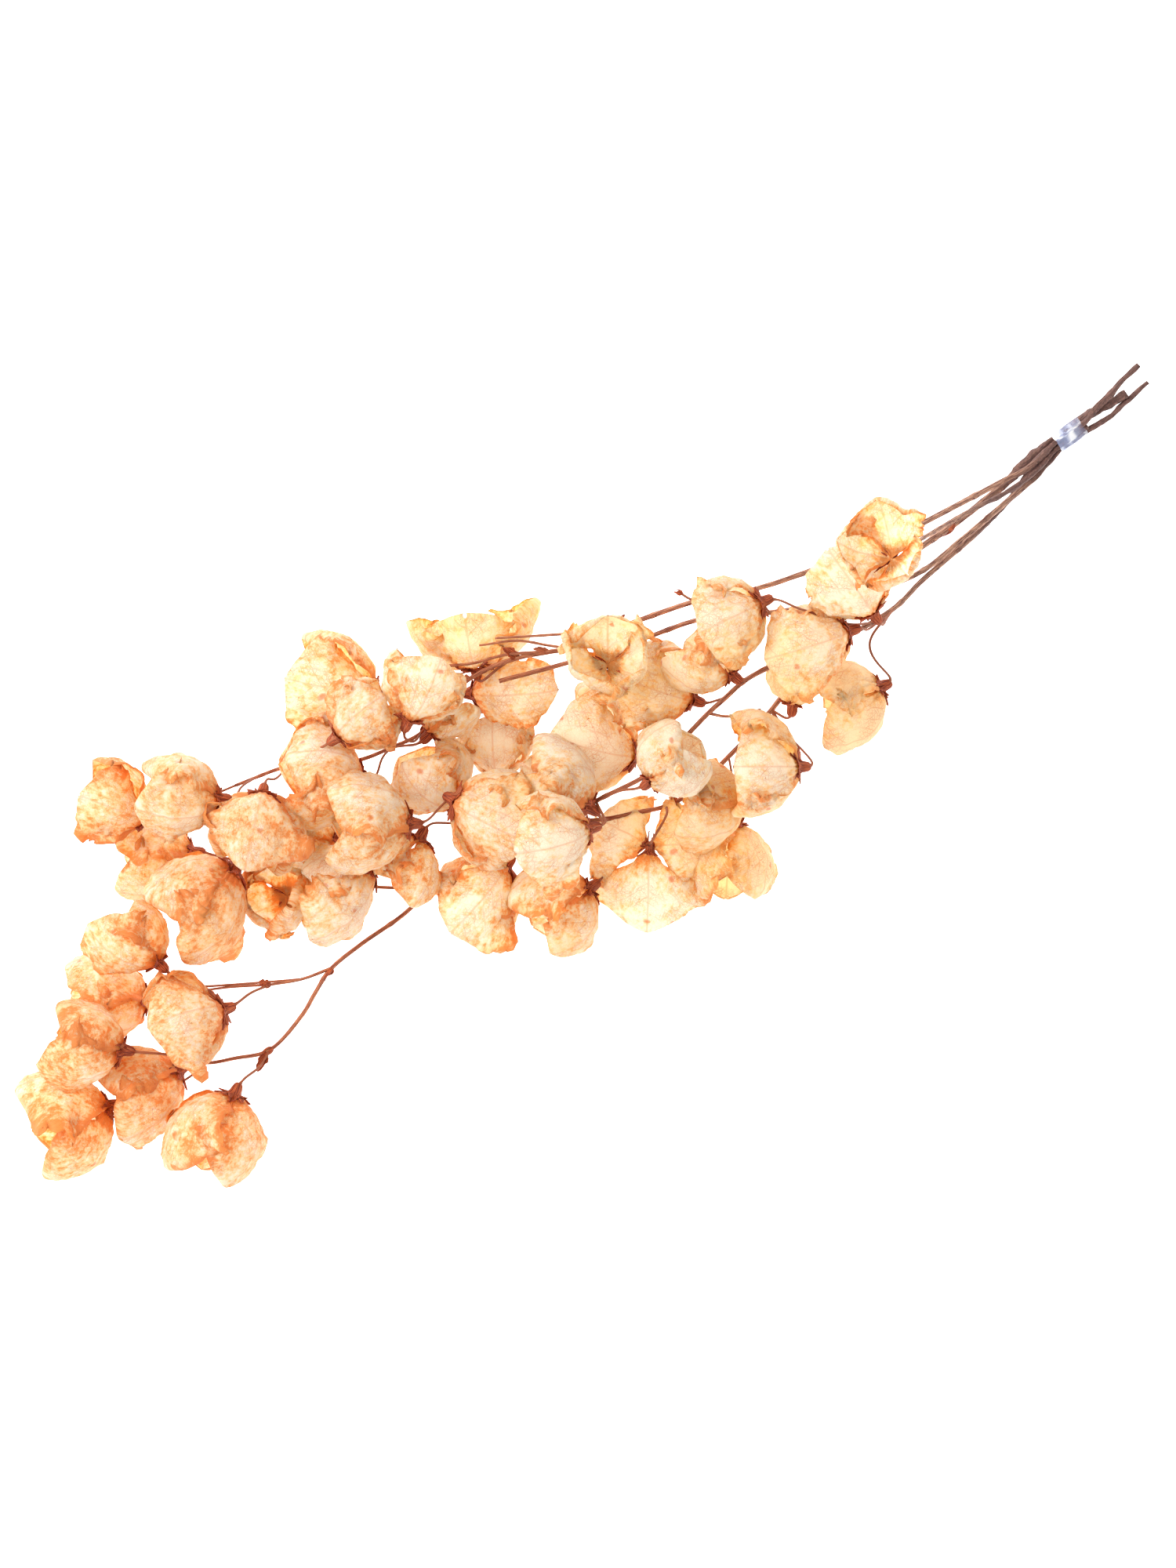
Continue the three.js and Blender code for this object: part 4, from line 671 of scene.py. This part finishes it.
def addScale(heap, item, petal, t0, seed, lift):
    # a strip that leaves the cup, bends over the root of a bract and ends in a point on it
    along, over = grid(np.linspace(0, 1, tuft["rows"]), np.linspace(-1, 1, tuft["columns"]))
    size = item["bloom"].get("tuft", 1)
    reach = size * tuft["reach"] * (1 + 0.3 * chance(seed)) * 1.5 / petal["bend"]
    share = np.maximum(along - 0.2, 0) / 0.8
    s = 0.012 + reach * share
    width = size * tuft["halfWidth"] * (0.6 + 1.5 * share - 0.5 * share ** 2)
    width = width * np.minimum(1, (1.02 - along) / 0.3) ** 0.7
    half = bractSurface(petal, item["base"], s, t0 + 0 * over)[1]
    t = np.clip(t0 * (0.5 + 0.5 * share) + over * width / np.maximum(half, 1.2), -1.05, 1.05)
    surface, half = bractSurface(petal, item["base"], s, t)
    pleat = 0.45 * (1 - np.abs(over)) + tuft["flare"] * share ** 2 * (0.6 + 0.5 * chance(seed + 1))
    onBract = surface + normals(surface) * (lift + pleat)[..., None]
    outer = unit(petal["outer"] - item["axis"] * (petal["outer"] @ item["axis"]))
    side = np.cross(item["axis"], outer)
    turn = t0 * math.radians(58) + over * 0.3
    spoke = outer * np.cos(turn)[..., None] - side * np.sin(turn)[..., None]
    back = wood["cupGap"] + wood["cupDepth"] * (1 - along / tuft["inCup"])
    cup = item["base"] - item["axis"] * back[..., None]
    widened = np.minimum(along / tuft["inCup"], 1) ** 0.85
    radius = 0.9 + size * tuft["cup"] * widened + 0.3 * (1 - np.abs(over))
    cup = cup + spoke * radius[..., None]
    blend = ease(0.1, 0.5, along)[..., None]
    strip = cup * (1 - blend) + onBract * blend
    heap.addSheet(strip, tuft["film"], painted(over * width, along * 10, seed, along, over, 0))


def addTuft(heap, item):
    # scales side by side round each bract, every second one a step higher
    for petal in item["petals"]:
        for index in range(tuft["perBract"]):
            t0 = (index + 0.5) / tuft["perBract"] * 2 - 1
            seed = petal["seed"] + index * 0.83 + 11
            place = 0.9 * t0 + 0.06 * chance(seed + 4)
            addScale(heap, item, petal, place, seed, tuft["lift"] + tuft["step"] * (index % 2))


def addPedicel(heap, item, lines):
    # a curve from the stem to the bloom with its bends evened out, thicker in the cup
    root = nearestWood(item["bloom"]["stem"], lines, *item["bloom"]["root"])
    via = [pileSpot(*place) for place in item["bloom"]["by"]]
    behind = wood["cupGap"] + wood["cupDepth"]
    last = [item["base"] - item["axis"] * way for way in (behind + wood["lead"], behind, 1.2)]
    places = np.array([root, *via, *last])
    line, thick = smoothLine(places, np.full(len(places), wood["pedicelRadius"]), 1.3)
    for turn in range(wood["relax"]):
        line[1:-1] = (line[:-2] + 2 * line[1:-1] + line[2:]) / 4
    toBase = np.linalg.norm(line - item["base"], axis=1)
    thick = thick * (1 + 1.9 * ease(8, 3, toBase))
    sweep(heap, line, thick, wood["pedicelSides"], 2, item["order"] + 0.5)


# Buds and curled scraps of leaf.

leafBits = dict(scaleFilm=0.24, scrapFilm=0.3)   # mm


def addBud(heap, bud, order):
    # a node with five ragged scales round it that swell out and end in tips of uneven length
    name, px, py, height, length, heading = bud
    axis = direction(heading, 0)
    start = pileSpot(px, py, height) - axis * length / 2
    share = np.linspace(0, 1, 9)
    radius = 0.3 + length * 0.2 * np.sin(np.pi * share ** 0.8) ** 0.8
    turnedShape(heap, start, axis, share * length * 0.9, radius, 8, [0, 5, order, 0.5, 0, 0])
    side = unit(np.cross(up, axis))
    along, over = grid(np.linspace(0, 1, 9), np.linspace(-1, 1, 5))
    for index in range(5):
        seed = order * 2.3 + index * 1.1
        turn = index * 1.257 + 0.5 * chance(seed) + over * (0.75 - 0.5 * along)
        spoke = side * np.cos(turn)[..., None] + up * np.sin(turn)[..., None]
        out = 0.27 * np.sin(np.pi * along ** 0.8) + 0.16 * (1 + chance(seed + 1)) * along ** 2
        out = 0.4 + length * out
        reach = along * length * (1.05 + 0.3 * chance(seed + 2))
        scale = start + axis * reach[..., None] + spoke * (out * (1 + 0.1 * np.cos(3 * over)))[..., None]
        heap.addSheet(scale, leafBits["scaleFilm"], painted(over * 1.2, along * 8, seed, along, over, 0))


def addScrap(heap, scrap, order):
    # a lens-shaped leaf bit: half width sin(pi share), rolled across and curled along
    name, px, py, height, length, heading = scrap
    axis = direction(heading, 18)
    side = unit(np.cross(up, axis))
    top = np.cross(axis, side)
    share, over = grid(np.linspace(0, 1, 16), np.linspace(-1, 1, 9))
    half = 0.3 + length * 0.25 * np.sin(np.pi * np.clip(share * 0.97 + 0.03, 0, 1)) ** 0.8
    half = half * (1 + 0.3 * crumple(share * 14, np.sign(over) * 2, order + 6) * np.abs(over))
    roll = over * (1.1 + 0.5 * chance(order))
    twist = 0.9 * share * chance(order + 3.1)
    sideways, rise = half * np.sin(roll) / 1.2, half * (1 - np.cos(roll)) * 0.9
    rise = rise + 0.16 * length * np.sin(2.6 * share + chance(order + 1))
    rise = rise + 0.25 * crumple(share * 9, over * 3, order)
    place = pileSpot(px, py, height) + axis * (share * length - 0.4)[..., None]
    place = place + side * (sideways * np.cos(twist) - rise * np.sin(twist))[..., None]
    place = place + top * (sideways * np.sin(twist) + rise * np.cos(twist))[..., None]
    heap.addSheet(place, leafBits["scrapFilm"], painted(over * half, share * length, order, share, over, 0))


def makeWood(name, lines, items):
    # a stem's bark, its tufts, and its buds and scraps, as up to three pieces
    bark = Heap()
    for order, (owner, kind, line, thick) in enumerate(lines):
        if owner != name:
            continue
        old = 1 - ease(wood["roughLength"] * 0.6, wood["roughLength"], lengthsAlong(line))
        sides = wood["twigSides"] if kind else wood["stemSides"]
        sweep(bark, line, thick * wood["bark"], sides, kind, order * 1.7 + 0.3, old * (kind == 0), 1 - kind)
    own = [item for item in items if item["bloom"]["stem"] == name]
    for item in own:
        addPedicel(bark, item, lines)
    makePiece(f"bark_{name}", bark, stemBark, "wood", name)
    scales = Heap()
    for item in own:
        addTuft(scales, item)
    if own:
        makePiece(f"tufts_{name}", scales, driedScales, "wood", name)
    leaves = Heap()
    for order, bud in enumerate(buds):
        if bud[0] == name:
            addBud(leaves, bud, order)
    for order, scrap in enumerate(scraps):
        if scrap[0] == name:
            addScrap(leaves, scrap, order + 20)
    if leaves.count:
        makePiece(f"buds_{name}", leaves, driedScales, "wood", name)


# Clear film tape.

def tapeOutline(turn, gap):
    # for each angle, the point of the outline round the bundled stems that lies furthest out
    rounds = np.array([stem["bundle"] for stem in stems.values()])
    reach = np.cos(turn)[:, None] * rounds[:, 0] + np.sin(turn)[:, None] * rounds[:, 1] + rounds[:, 2]
    offset, height, radius = rounds[reach.argmax(1)].T
    return offset + (radius + gap) * np.cos(turn), height + (radius + gap) * np.sin(turn)


def makeTape():
    # the outline carried along the stems twice, film apart, with wrinkles and two closed rims
    along, middle = direction(tape["slope"], 0), spot(*tape["middle"], 0)
    side = np.cross(up, along)
    rows, turn = grid(np.linspace(-1, 1, tape["rows"]), np.linspace(0, 2 * np.pi, tape["sides"] + 1))
    wrinkles = crumple(rows * 9, np.sin(turn) * 3, 4) + crumple(rows * 3, np.cos(turn) * 7, 9)
    wrinkles = tape["wrinkle"] * wrinkles
    across, height = tapeOutline(turn[0], 0)
    normal = np.stack([np.cos(turn), np.sin(turn)], -1)
    gap = tape["gap"] + tape["film"] / 2 + wrinkles * (np.sin(turn) > -0.2)
    heap = Heap()
    skins = []
    for half in (tape["film"] / 2, -tape["film"] / 2):
        offset = across[None, :] + (gap + half) * normal[..., 0]
        lowest = tableGap + tape["film"] / 2 + half
        level = np.maximum(height[None, :] + (gap + half) * normal[..., 1], lowest)
        film = middle + along * (rows * (tape["halfLength"] + 0.25 * np.sin(turn * 3)))[..., None]
        skins.append(film + side * offset[..., None] + up * level[..., None])
    count, columns = rows.shape
    row, column = grid(np.arange(count - 1), np.arange(columns - 1))
    wrap = columns - 1
    here, over = row * wrap + column, row * wrap + (column + 1) % wrap
    outer = np.stack([here, over, over + wrap, here + wrap], -1).reshape(-1, 4)
    inner = outer[:, ::-1] + count * wrap
    ring, step = np.arange(wrap), (np.arange(wrap) + 1) % wrap
    last = (count - 1) * wrap
    rims = np.vstack([
        np.stack([step, ring, ring + count * wrap, step + count * wrap], -1),
        np.stack([ring + last, step + last, step + last + count * wrap, ring + last + count * wrap], -1)])
    points = np.vstack([skin[:, :-1].reshape(-1, 3) for skin in skins])
    paint = painted(rows[:, :-1] * 8, turn[:, :-1] * 4, 0, rows[:, :-1], turn[:, :-1], 0)
    heap.add(points, [outer, inner, rims], np.vstack([paint, paint]))
    makePiece("tape_band", heap, clearFilm, "film", "tape")

    # loose end of the tape: leaves the band sideways and droops towards the table
    u, v = grid(np.linspace(0, 1, 22), np.linspace(-1, 1, 18))
    out = -tape["flapStart"] - tape["flapLength"] * u * (1 + 0.1 * np.sin(3 * v))
    rise = tape["flapHeight"] - tape["flapDrop"] * u ** 1.3 + 0.5 * crumple(u * 5, v * 3, 3) * u
    slide = v * tape["flapHalf"] * (1 - 0.18 * u) + 1.1 * u
    surface = middle + along * slide[..., None] + side * out[..., None] + up * rise[..., None]
    flap = Heap()
    flap.addSheet(surface, tape["flapFilm"], painted(v * 6, u * 9, 1, u, v, 0))
    makePiece("tape_flap", flap, clearFilm, "film", "tape")


# Materials.

def tint(red, green, blue):
    # a colour as seen on a screen, 0 to 255, as linear light
    share = np.array([red, green, blue]) / 255
    linear = np.where(share <= 0.04045, share / 12.92, ((share + 0.055) / 1.055) ** 2.4)
    return (*linear.tolist(), 1.0)


class Nodes:
    # a material and short calls for the nodes that it needs
    def __init__(self, name):
        self.material = bpy.data.materials.new(name)
        self.material.use_nodes = True
        self.tree = self.material.node_tree
        self.tree.nodes.clear()
        self.out = self.add("ShaderNodeOutputMaterial")

    def add(self, kind, settings=None, **inputs):
        node = self.tree.nodes.new(kind)
        for key, value in (settings or {}).items():
            setattr(node, key, value)
        for key, value in inputs.items():
            self.put(node, key.replace("_", " "), value)
        return node

    def put(self, node, key, value):
        socket = node.inputs[int(key)] if str(key).isdigit() else node.inputs[key]
        if isinstance(value, bpy.types.NodeSocket):
            self.tree.links.new(value, socket)
        else:
            socket.default_value = value

    def math(self, operation, first, second=0.0):
        node = self.add("ShaderNodeMath", dict(operation=operation))
        self.put(node, 0, first)
        self.put(node, 1, second)
        return node.outputs[0]

    def times(self, first, second):
        return self.math("MULTIPLY", first, second)

    def plus(self, first, second):
        return self.math("ADD", first, second)

    def minus(self, first, second):
        return self.math("SUBTRACT", first, second)

    def larger(self, first, second):
        return self.math("MAXIMUM", first, second)

    def size(self, value):
        return self.math("ABSOLUTE", value)

    def remap(self, value, low, high, start=0.0, stop=1.0):
        node = self.add("ShaderNodeMapRange", dict(interpolation_type="SMOOTHSTEP"))
        for key, part in zip((0, 1, 2, 3, 4), (value, low, high, start, stop)):
            self.put(node, key, part)
        return node.outputs[0]

    def mix(self, share, first, second, blend="MIX"):
        node = self.add("ShaderNodeMix", dict(data_type="RGBA", blend_type=blend))
        self.put(node, 0, share)
        self.put(node, 6, first)
        self.put(node, 7, second)
        return node.outputs[2]

    def noise(self, vector, scale, detail=3.0, rough=0.5):
        node = self.add("ShaderNodeTexNoise", Vector=vector, Scale=scale, Detail=detail, Roughness=rough)
        return node.outputs[0]

    def cells(self, vector, scale, feature="F1"):
        flat = dict(feature=feature, voronoi_dimensions="2D")
        return self.add("ShaderNodeTexVoronoi", flat, Vector=vector, Scale=scale).outputs

    def net(self, vector, scale, width):
        # lines along the borders of the cells
        edge = self.cells(vector, scale, "DISTANCE_TO_EDGE")["Distance"]
        return self.remap(edge, 0.0, width, 1.0, 0.0)

    def dots(self, vector, scale, near, far, rare):
        # soft dots in the middle of those few cells whose own value is over rare
        cell = self.cells(vector, scale)
        pick = self.add("ShaderNodeSeparateColor", Color=cell["Color"]).outputs[0]
        dot = self.remap(cell["Distance"], near, far, 1.0, 0.0)
        return self.times(dot, self.math("GREATER_THAN", pick, rare))

    def split(self, vector):
        return list(self.add("ShaderNodeSeparateXYZ", Vector=vector).outputs)

    def painted(self):
        # the six values painted on each point
        nodes = [self.add("ShaderNodeAttribute", dict(attribute_name=key)) for key in paintKeys]
        return [value for node in nodes for value in self.split(node.outputs["Vector"])]

    def objectSpot(self):
        return self.add("ShaderNodeTexCoord").outputs["Object"]

    def vector(self, x, y, z=0.0):
        return self.add("ShaderNodeCombineXYZ", X=x, Y=y, Z=z).outputs[0]

    def bump(self, height, strength, distance):
        return self.add("ShaderNodeBump", Height=height, Strength=strength, Distance=distance).outputs[0]

    def surface(self, base, rough, **more):
        return self.add("ShaderNodeBsdfPrincipled", Base_Color=base, Roughness=rough, **more)

    def finish(self, shader, glow=None, share=0.0):
        # the shader alone, or mixed with light that shines through
        if glow is not None:
            both = self.add("ShaderNodeMixShader", Fac=share)
            self.put(both, 1, shader.outputs[0])
            self.put(both, 2, glow.outputs[0])
            shader = both
        self.put(self.out, "Surface", shader.outputs[0])
        return self.material


# Colours, and how strongly the marks of the paper show.
paperLook = dict(
    pale=tint(255, 252, 236), cream=tint(254, 230, 178), deep=tint(246, 176, 102),
    yellow=tint(255, 226, 148), vein=tint(218, 142, 68), freckle=tint(190, 100, 44),
    stain=tint(226, 128, 50), midrib=0.45, ribs=0.65, net=0.7, fineNet=0.5, marks=0.72,
    through=0.58,             # share of the light that shines through
)
barkLook = dict(              # darker and lighter colour of each kind of bark
    young=(tint(122, 52, 30), tint(198, 124, 84)), grey=(tint(96, 50, 40), tint(206, 158, 130)),
    twig=(tint(120, 52, 30), tint(186, 112, 72)), old=(tint(40, 21, 20), tint(134, 92, 84)),
    cut=tint(206, 172, 134),
)
scaleLook = dict(
    dark=tint(112, 32, 12), light=tint(214, 106, 56), pale=tint(206, 140, 100), tip=tint(170, 70, 34),
    rough=0.68, through=0.18,
)
# the film's lavender tint, and white for the painted highlight on it
filmLook = dict(shade=tint(176, 188, 226), paintedHighlight=tint(255, 255, 255), rough=0.16, coat=0.5)


def petalMaterial():
    n = Nodes("dried_petal_paper")
    x, y, seed, s, t, tone = n.painted()
    cloudSpot = n.objectSpot()
    shifted = n.times(seed, 17.3)
    place = n.vector(x, y, shifted)
    warp = n.minus(n.noise(place, 0.16, 2.0), 0.5)
    bentX, bentY, bentT = (
        n.plus(value, n.times(warp, most)) for value, most in ((x, 4.0), (y, 5.0), (n.size(t), 0.14)))
    flat = n.vector(bentX, bentY, shifted)
    netPlace = n.vector(n.plus(bentX, shifted), bentY)

    # midrib, slanting side ribs and the fine net between them
    absX = n.size(x)
    midrib = n.remap(absX, 0.15, 0.75, 1.0, 0.0)
    arch = n.plus(n.times(absX, bracts["ribLean"]), n.times(n.times(x, x), bracts["ribArch"]))
    slant = n.minus(bentY, arch)
    slant = n.plus(slant, n.times(n.math("LESS_THAN", x, 0.0), bracts["ribGap"] * bracts["ribStagger"]))
    sideRib = n.remap(n.math("PINGPONG", slant, bracts["ribGap"] / 2), 0.1, 0.5, 1.0, 0.0)
    net, fineNet = n.net(netPlace, 0.5, 0.11), n.net(netPlace, 1.2, 0.15)
    patchy = n.remap(n.noise(place, 0.09, 2.0), 0.35, 0.65, 0.25, 1.0)
    nerve = n.remap(n.math("PINGPONG", bentT, bracts["nerve"] / 2), 0.004, 0.02, 1.0, 0.0)
    ribs = n.times(n.larger(n.times(nerve, 0.8), sideRib), patchy)
    veins = n.larger(n.times(midrib, paperLook["midrib"]), n.times(ribs, paperLook["ribs"]))
    veins = n.larger(veins, n.times(n.times(net, patchy), paperLook["net"]))
    veins = n.larger(veins, n.times(n.times(fineNet, patchy), paperLook["fineNet"]))

    # cream to peach in clouds, paler towards the tied end, deeper at the root and the margin, and paler
    # down the middle of each bract as a painted glow of light shining through
    cloud = n.noise(cloudSpot, 26.0, 3.0, 0.55)
    blotch = n.noise(place, 0.1, 3.0, 0.6)
    lengthwise = n.split(cloudSpot)[0]
    warm = n.plus(n.times(cloud, 0.55), n.times(blotch, 0.75))
    warm = n.plus(n.plus(warm, n.remap(lengthwise, -0.34, 0.1, 0.2, 0.0)), n.times(tone, 0.09))
    mottle = n.noise(n.vector(x, n.times(y, 0.6), shifted), 0.45, 4.0, 0.65)
    warm = n.plus(warm, n.remap(mottle, 0.3, 0.72, -0.2, 0.24))
    root = n.remap(s, 0.0, 0.34, 0.42, 0.0)
    margin = n.remap(n.size(t), 0.7, 1.0, 0.0, 0.3)
    # painted glow of light shining through: paler down the middle of each bract, away from the root
    middle = n.times(n.remap(n.size(t), 0.0, 0.7, 0.16, 0.0), n.remap(s, 0.1, 0.4))
    warm = n.plus(warm, n.minus(n.plus(root, margin), middle))
    base = n.mix(n.remap(warm, 0.46, 0.86), paperLook["pale"], paperLook["cream"])
    base = n.mix(n.remap(warm, 0.74, 1.08), base, paperLook["deep"])
    yellow = n.remap(n.noise(cloudSpot, 9.0, 2.0), 0.46, 0.62, 0.0, 0.36)
    yellow = n.times(yellow, n.remap(lengthwise, -0.3, -0.05))
    base = n.mix(yellow, base, paperLook["yellow"])
    base = n.mix(n.times(veins, paperLook["marks"]), base, paperLook["vein"])

    # small brown freckles and a few larger stains
    freckles = n.dots(n.vector(bentX, n.plus(bentY, shifted)), 0.5, 0.06, 0.17, 0.8)
    base = n.mix(n.times(freckles, n.times(patchy, 0.6)), base, paperLook["freckle"])
    stains = n.dots(netPlace, 0.075, 0.05, 0.16, 0.88)
    base = n.mix(n.times(stains, 0.55), base, paperLook["stain"])

    height = n.plus(n.times(veins, 0.2), n.times(n.noise(flat, 0.7, 4.0, 0.6), 0.5))
    normal = n.bump(height, 0.7, 0.0006)
    rough = n.remap(blotch, 0.3, 0.7, 0.46, 0.66)
    paper = n.surface(base, rough, Normal=normal)
    paper.inputs["Specular IOR Level"].default_value = 0.35
    paper.inputs["Sheen Weight"].default_value = 0.08
    through = n.add("ShaderNodeGamma", Color=base, Gamma=0.94).outputs[0]
    glow = n.add("ShaderNodeBsdfTranslucent", Color=through, Normal=normal)
    return n.finish(paper, glow, paperLook["through"])


def barkMaterial():
    n = Nodes("stem_bark")
    around, along, seed, old, kind, cut = n.painted()
    towardsTie = n.remap(n.split(n.objectSpot())[0], -0.02, 0.2)
    grain = n.noise(n.vector(n.times(around, 2.4), n.times(along, 0.16), seed), 1.0, 4.0, 0.6)
    fine = n.noise(n.vector(n.times(around, 6.0), n.times(along, 0.6), seed), 1.0, 3.0, 0.6)
    young = n.mix(n.remap(grain, 0.38, 0.62), *barkLook["young"])
    grey = n.mix(n.remap(grain, 0.4, 0.6), *barkLook["grey"])
    base = n.mix(towardsTie, young, grey)
    base = n.mix(n.remap(kind, 1.2, 1.8, 0.0, 0.75), base, n.mix(fine, *barkLook["twig"]))
    dark = n.mix(n.remap(fine, 0.4, 0.62), *barkLook["old"])
    base = n.mix(n.times(old, 0.85), base, dark)
    base = n.mix(n.remap(cut, 0.2, 0.8), base, barkLook["cut"])
    height = n.plus(n.times(grain, 0.7), n.times(fine, 0.5))
    normal = n.bump(height, 0.7, 0.0006)
    rough = n.remap(grain, 0.3, 0.7, 0.55, 0.85)
    return n.finish(n.surface(base, rough, Normal=normal))


def scaleMaterial():
    n = Nodes("dried_scales")
    across, along, seed, share, over, spare = n.painted()
    stretched = n.vector(n.times(across, 3.2), n.times(along, 0.25), n.times(seed, 9.1))
    fibre = n.noise(stretched, 1.0, 3.0, 0.6)
    tuftTone = n.noise(n.vector(n.times(seed, 3.3), 0.0), 1.0, 0.0)
    base = n.mix(n.remap(fibre, 0.35, 0.65), scaleLook["dark"], scaleLook["light"])
    base = n.mix(n.remap(tuftTone, 0.55, 0.8, 0.0, 0.5), base, scaleLook["pale"])
    base = n.mix(n.remap(share, 0.7, 1.0, 0.0, 0.35), base, scaleLook["tip"])
    normal = n.bump(fibre, 0.7, 0.0005)
    scales = n.surface(base, scaleLook["rough"], Normal=normal)
    glow = n.add("ShaderNodeBsdfTranslucent", Color=base, Normal=normal)
    return n.finish(scales, glow, scaleLook["through"])


def filmMaterial():
    n = Nodes("clear_film_tape")
    along, around, seed, end, turn, spare = n.painted()
    # painted highlight: white in broad streaks over the film's lavender tint, the film more solid where
    # that highlight is painted and more see-through towards one end, where the highlight narrows
    highlightStreak = n.noise(n.vector(n.times(along, 0.12), n.times(around, 0.2), seed), 1.0, 2.0, 0.5)
    base = n.mix(n.remap(highlightStreak, 0.42, 0.6), filmLook["shade"], filmLook["paintedHighlight"])
    clear = n.times(n.remap(highlightStreak, 0.36, 0.64, 0.24, 0.9), n.remap(end, -0.4, 1.0, 1.0, 0.4))
    normal = n.bump(highlightStreak, 0.6, 0.0006)
    film = n.surface(base, filmLook["rough"], Alpha=clear, Normal=normal)
    film.inputs["Coat Weight"].default_value = filmLook["coat"]
    return n.finish(film)


petalPaper = petalMaterial()
stemBark = barkMaterial()
driedScales = scaleMaterial()
clearFilm = filmMaterial()
print("materials made")

items = [makeBloom(order, name, bloom) for order, (name, bloom) in enumerate(blooms.items())]
print("petals made")
lines = woodLines()
for name in stems:
    makeWood(name, lines, items)
print("stems, tufts and buds made")
makeTape()
print("tape made")

# Floor, light and camera.

studio = dict(                # metres and watts; mm for the lens
    floorSize=16, floorGlow=1.4, skyStrength=0.84,
    lampPlace=(-0.9, 1.1, 1.9), lampSize=1.6, lampPower=52,
    cameraHeight=6.712, lens=300, sensor=36,
)


def makeFloor():
    half = studio["floorSize"] / 2
    mesh = bpy.data.meshes.new("floor")
    corners = [(-half, -half, 0), (half, -half, 0), (half, half, 0), (-half, half, 0)]
    mesh.from_pydata(corners, [], [(0, 1, 2, 3)])
    n = Nodes("pale_floor")
    grain = n.noise(n.objectSpot(), 3.0, 2.0)
    paper = n.surface(n.mix(grain, tint(250, 250, 250), tint(255, 255, 255)), 0.9)
    paper.inputs["Emission Color"].default_value = (1, 1, 1, 1)
    paper.inputs["Emission Strength"].default_value = studio["floorGlow"]
    mesh.materials.append(n.finish(paper))
    placed("floor", mesh)


def makeLight():
    world = bpy.data.worlds.new("studio")
    world.use_nodes = True
    sky = world.node_tree.nodes["Background"]
    sky.inputs["Color"].default_value = (1, 1, 1, 1)
    sky.inputs["Strength"].default_value = studio["skyStrength"]
    bpy.context.scene.world = world
    lamp = bpy.data.lights.new("softbox", "AREA")
    lamp.energy, lamp.size = studio["lampPower"], studio["lampSize"]
    softbox = placed("softbox", lamp)
    softbox.location = studio["lampPlace"]
    away = np.array(studio["lampPlace"])
    tilt = math.acos(away[2] / np.linalg.norm(away))
    softbox.rotation_euler = (tilt, 0, math.atan2(away[1], away[0]) + math.pi / 2)


def makeCamera():
    # straight above the middle of the picture, turned so that the bunch slopes as it does there
    data = bpy.data.cameras.new("above")
    data.lens, data.sensor_width = studio["lens"], studio["sensor"]
    camera = placed("above", data)
    place = -np.array(picture["shift"]) * 0.001
    camera.location = (place[0], place[1], studio["cameraHeight"])
    camera.rotation_euler = (0, 0, -math.radians(picture["slope"]))
    bpy.context.scene.camera = camera


makeFloor()
makeLight()
makeCamera()
bpy.context.scene.view_settings.view_transform = "Standard"
print("floor, light and camera set")
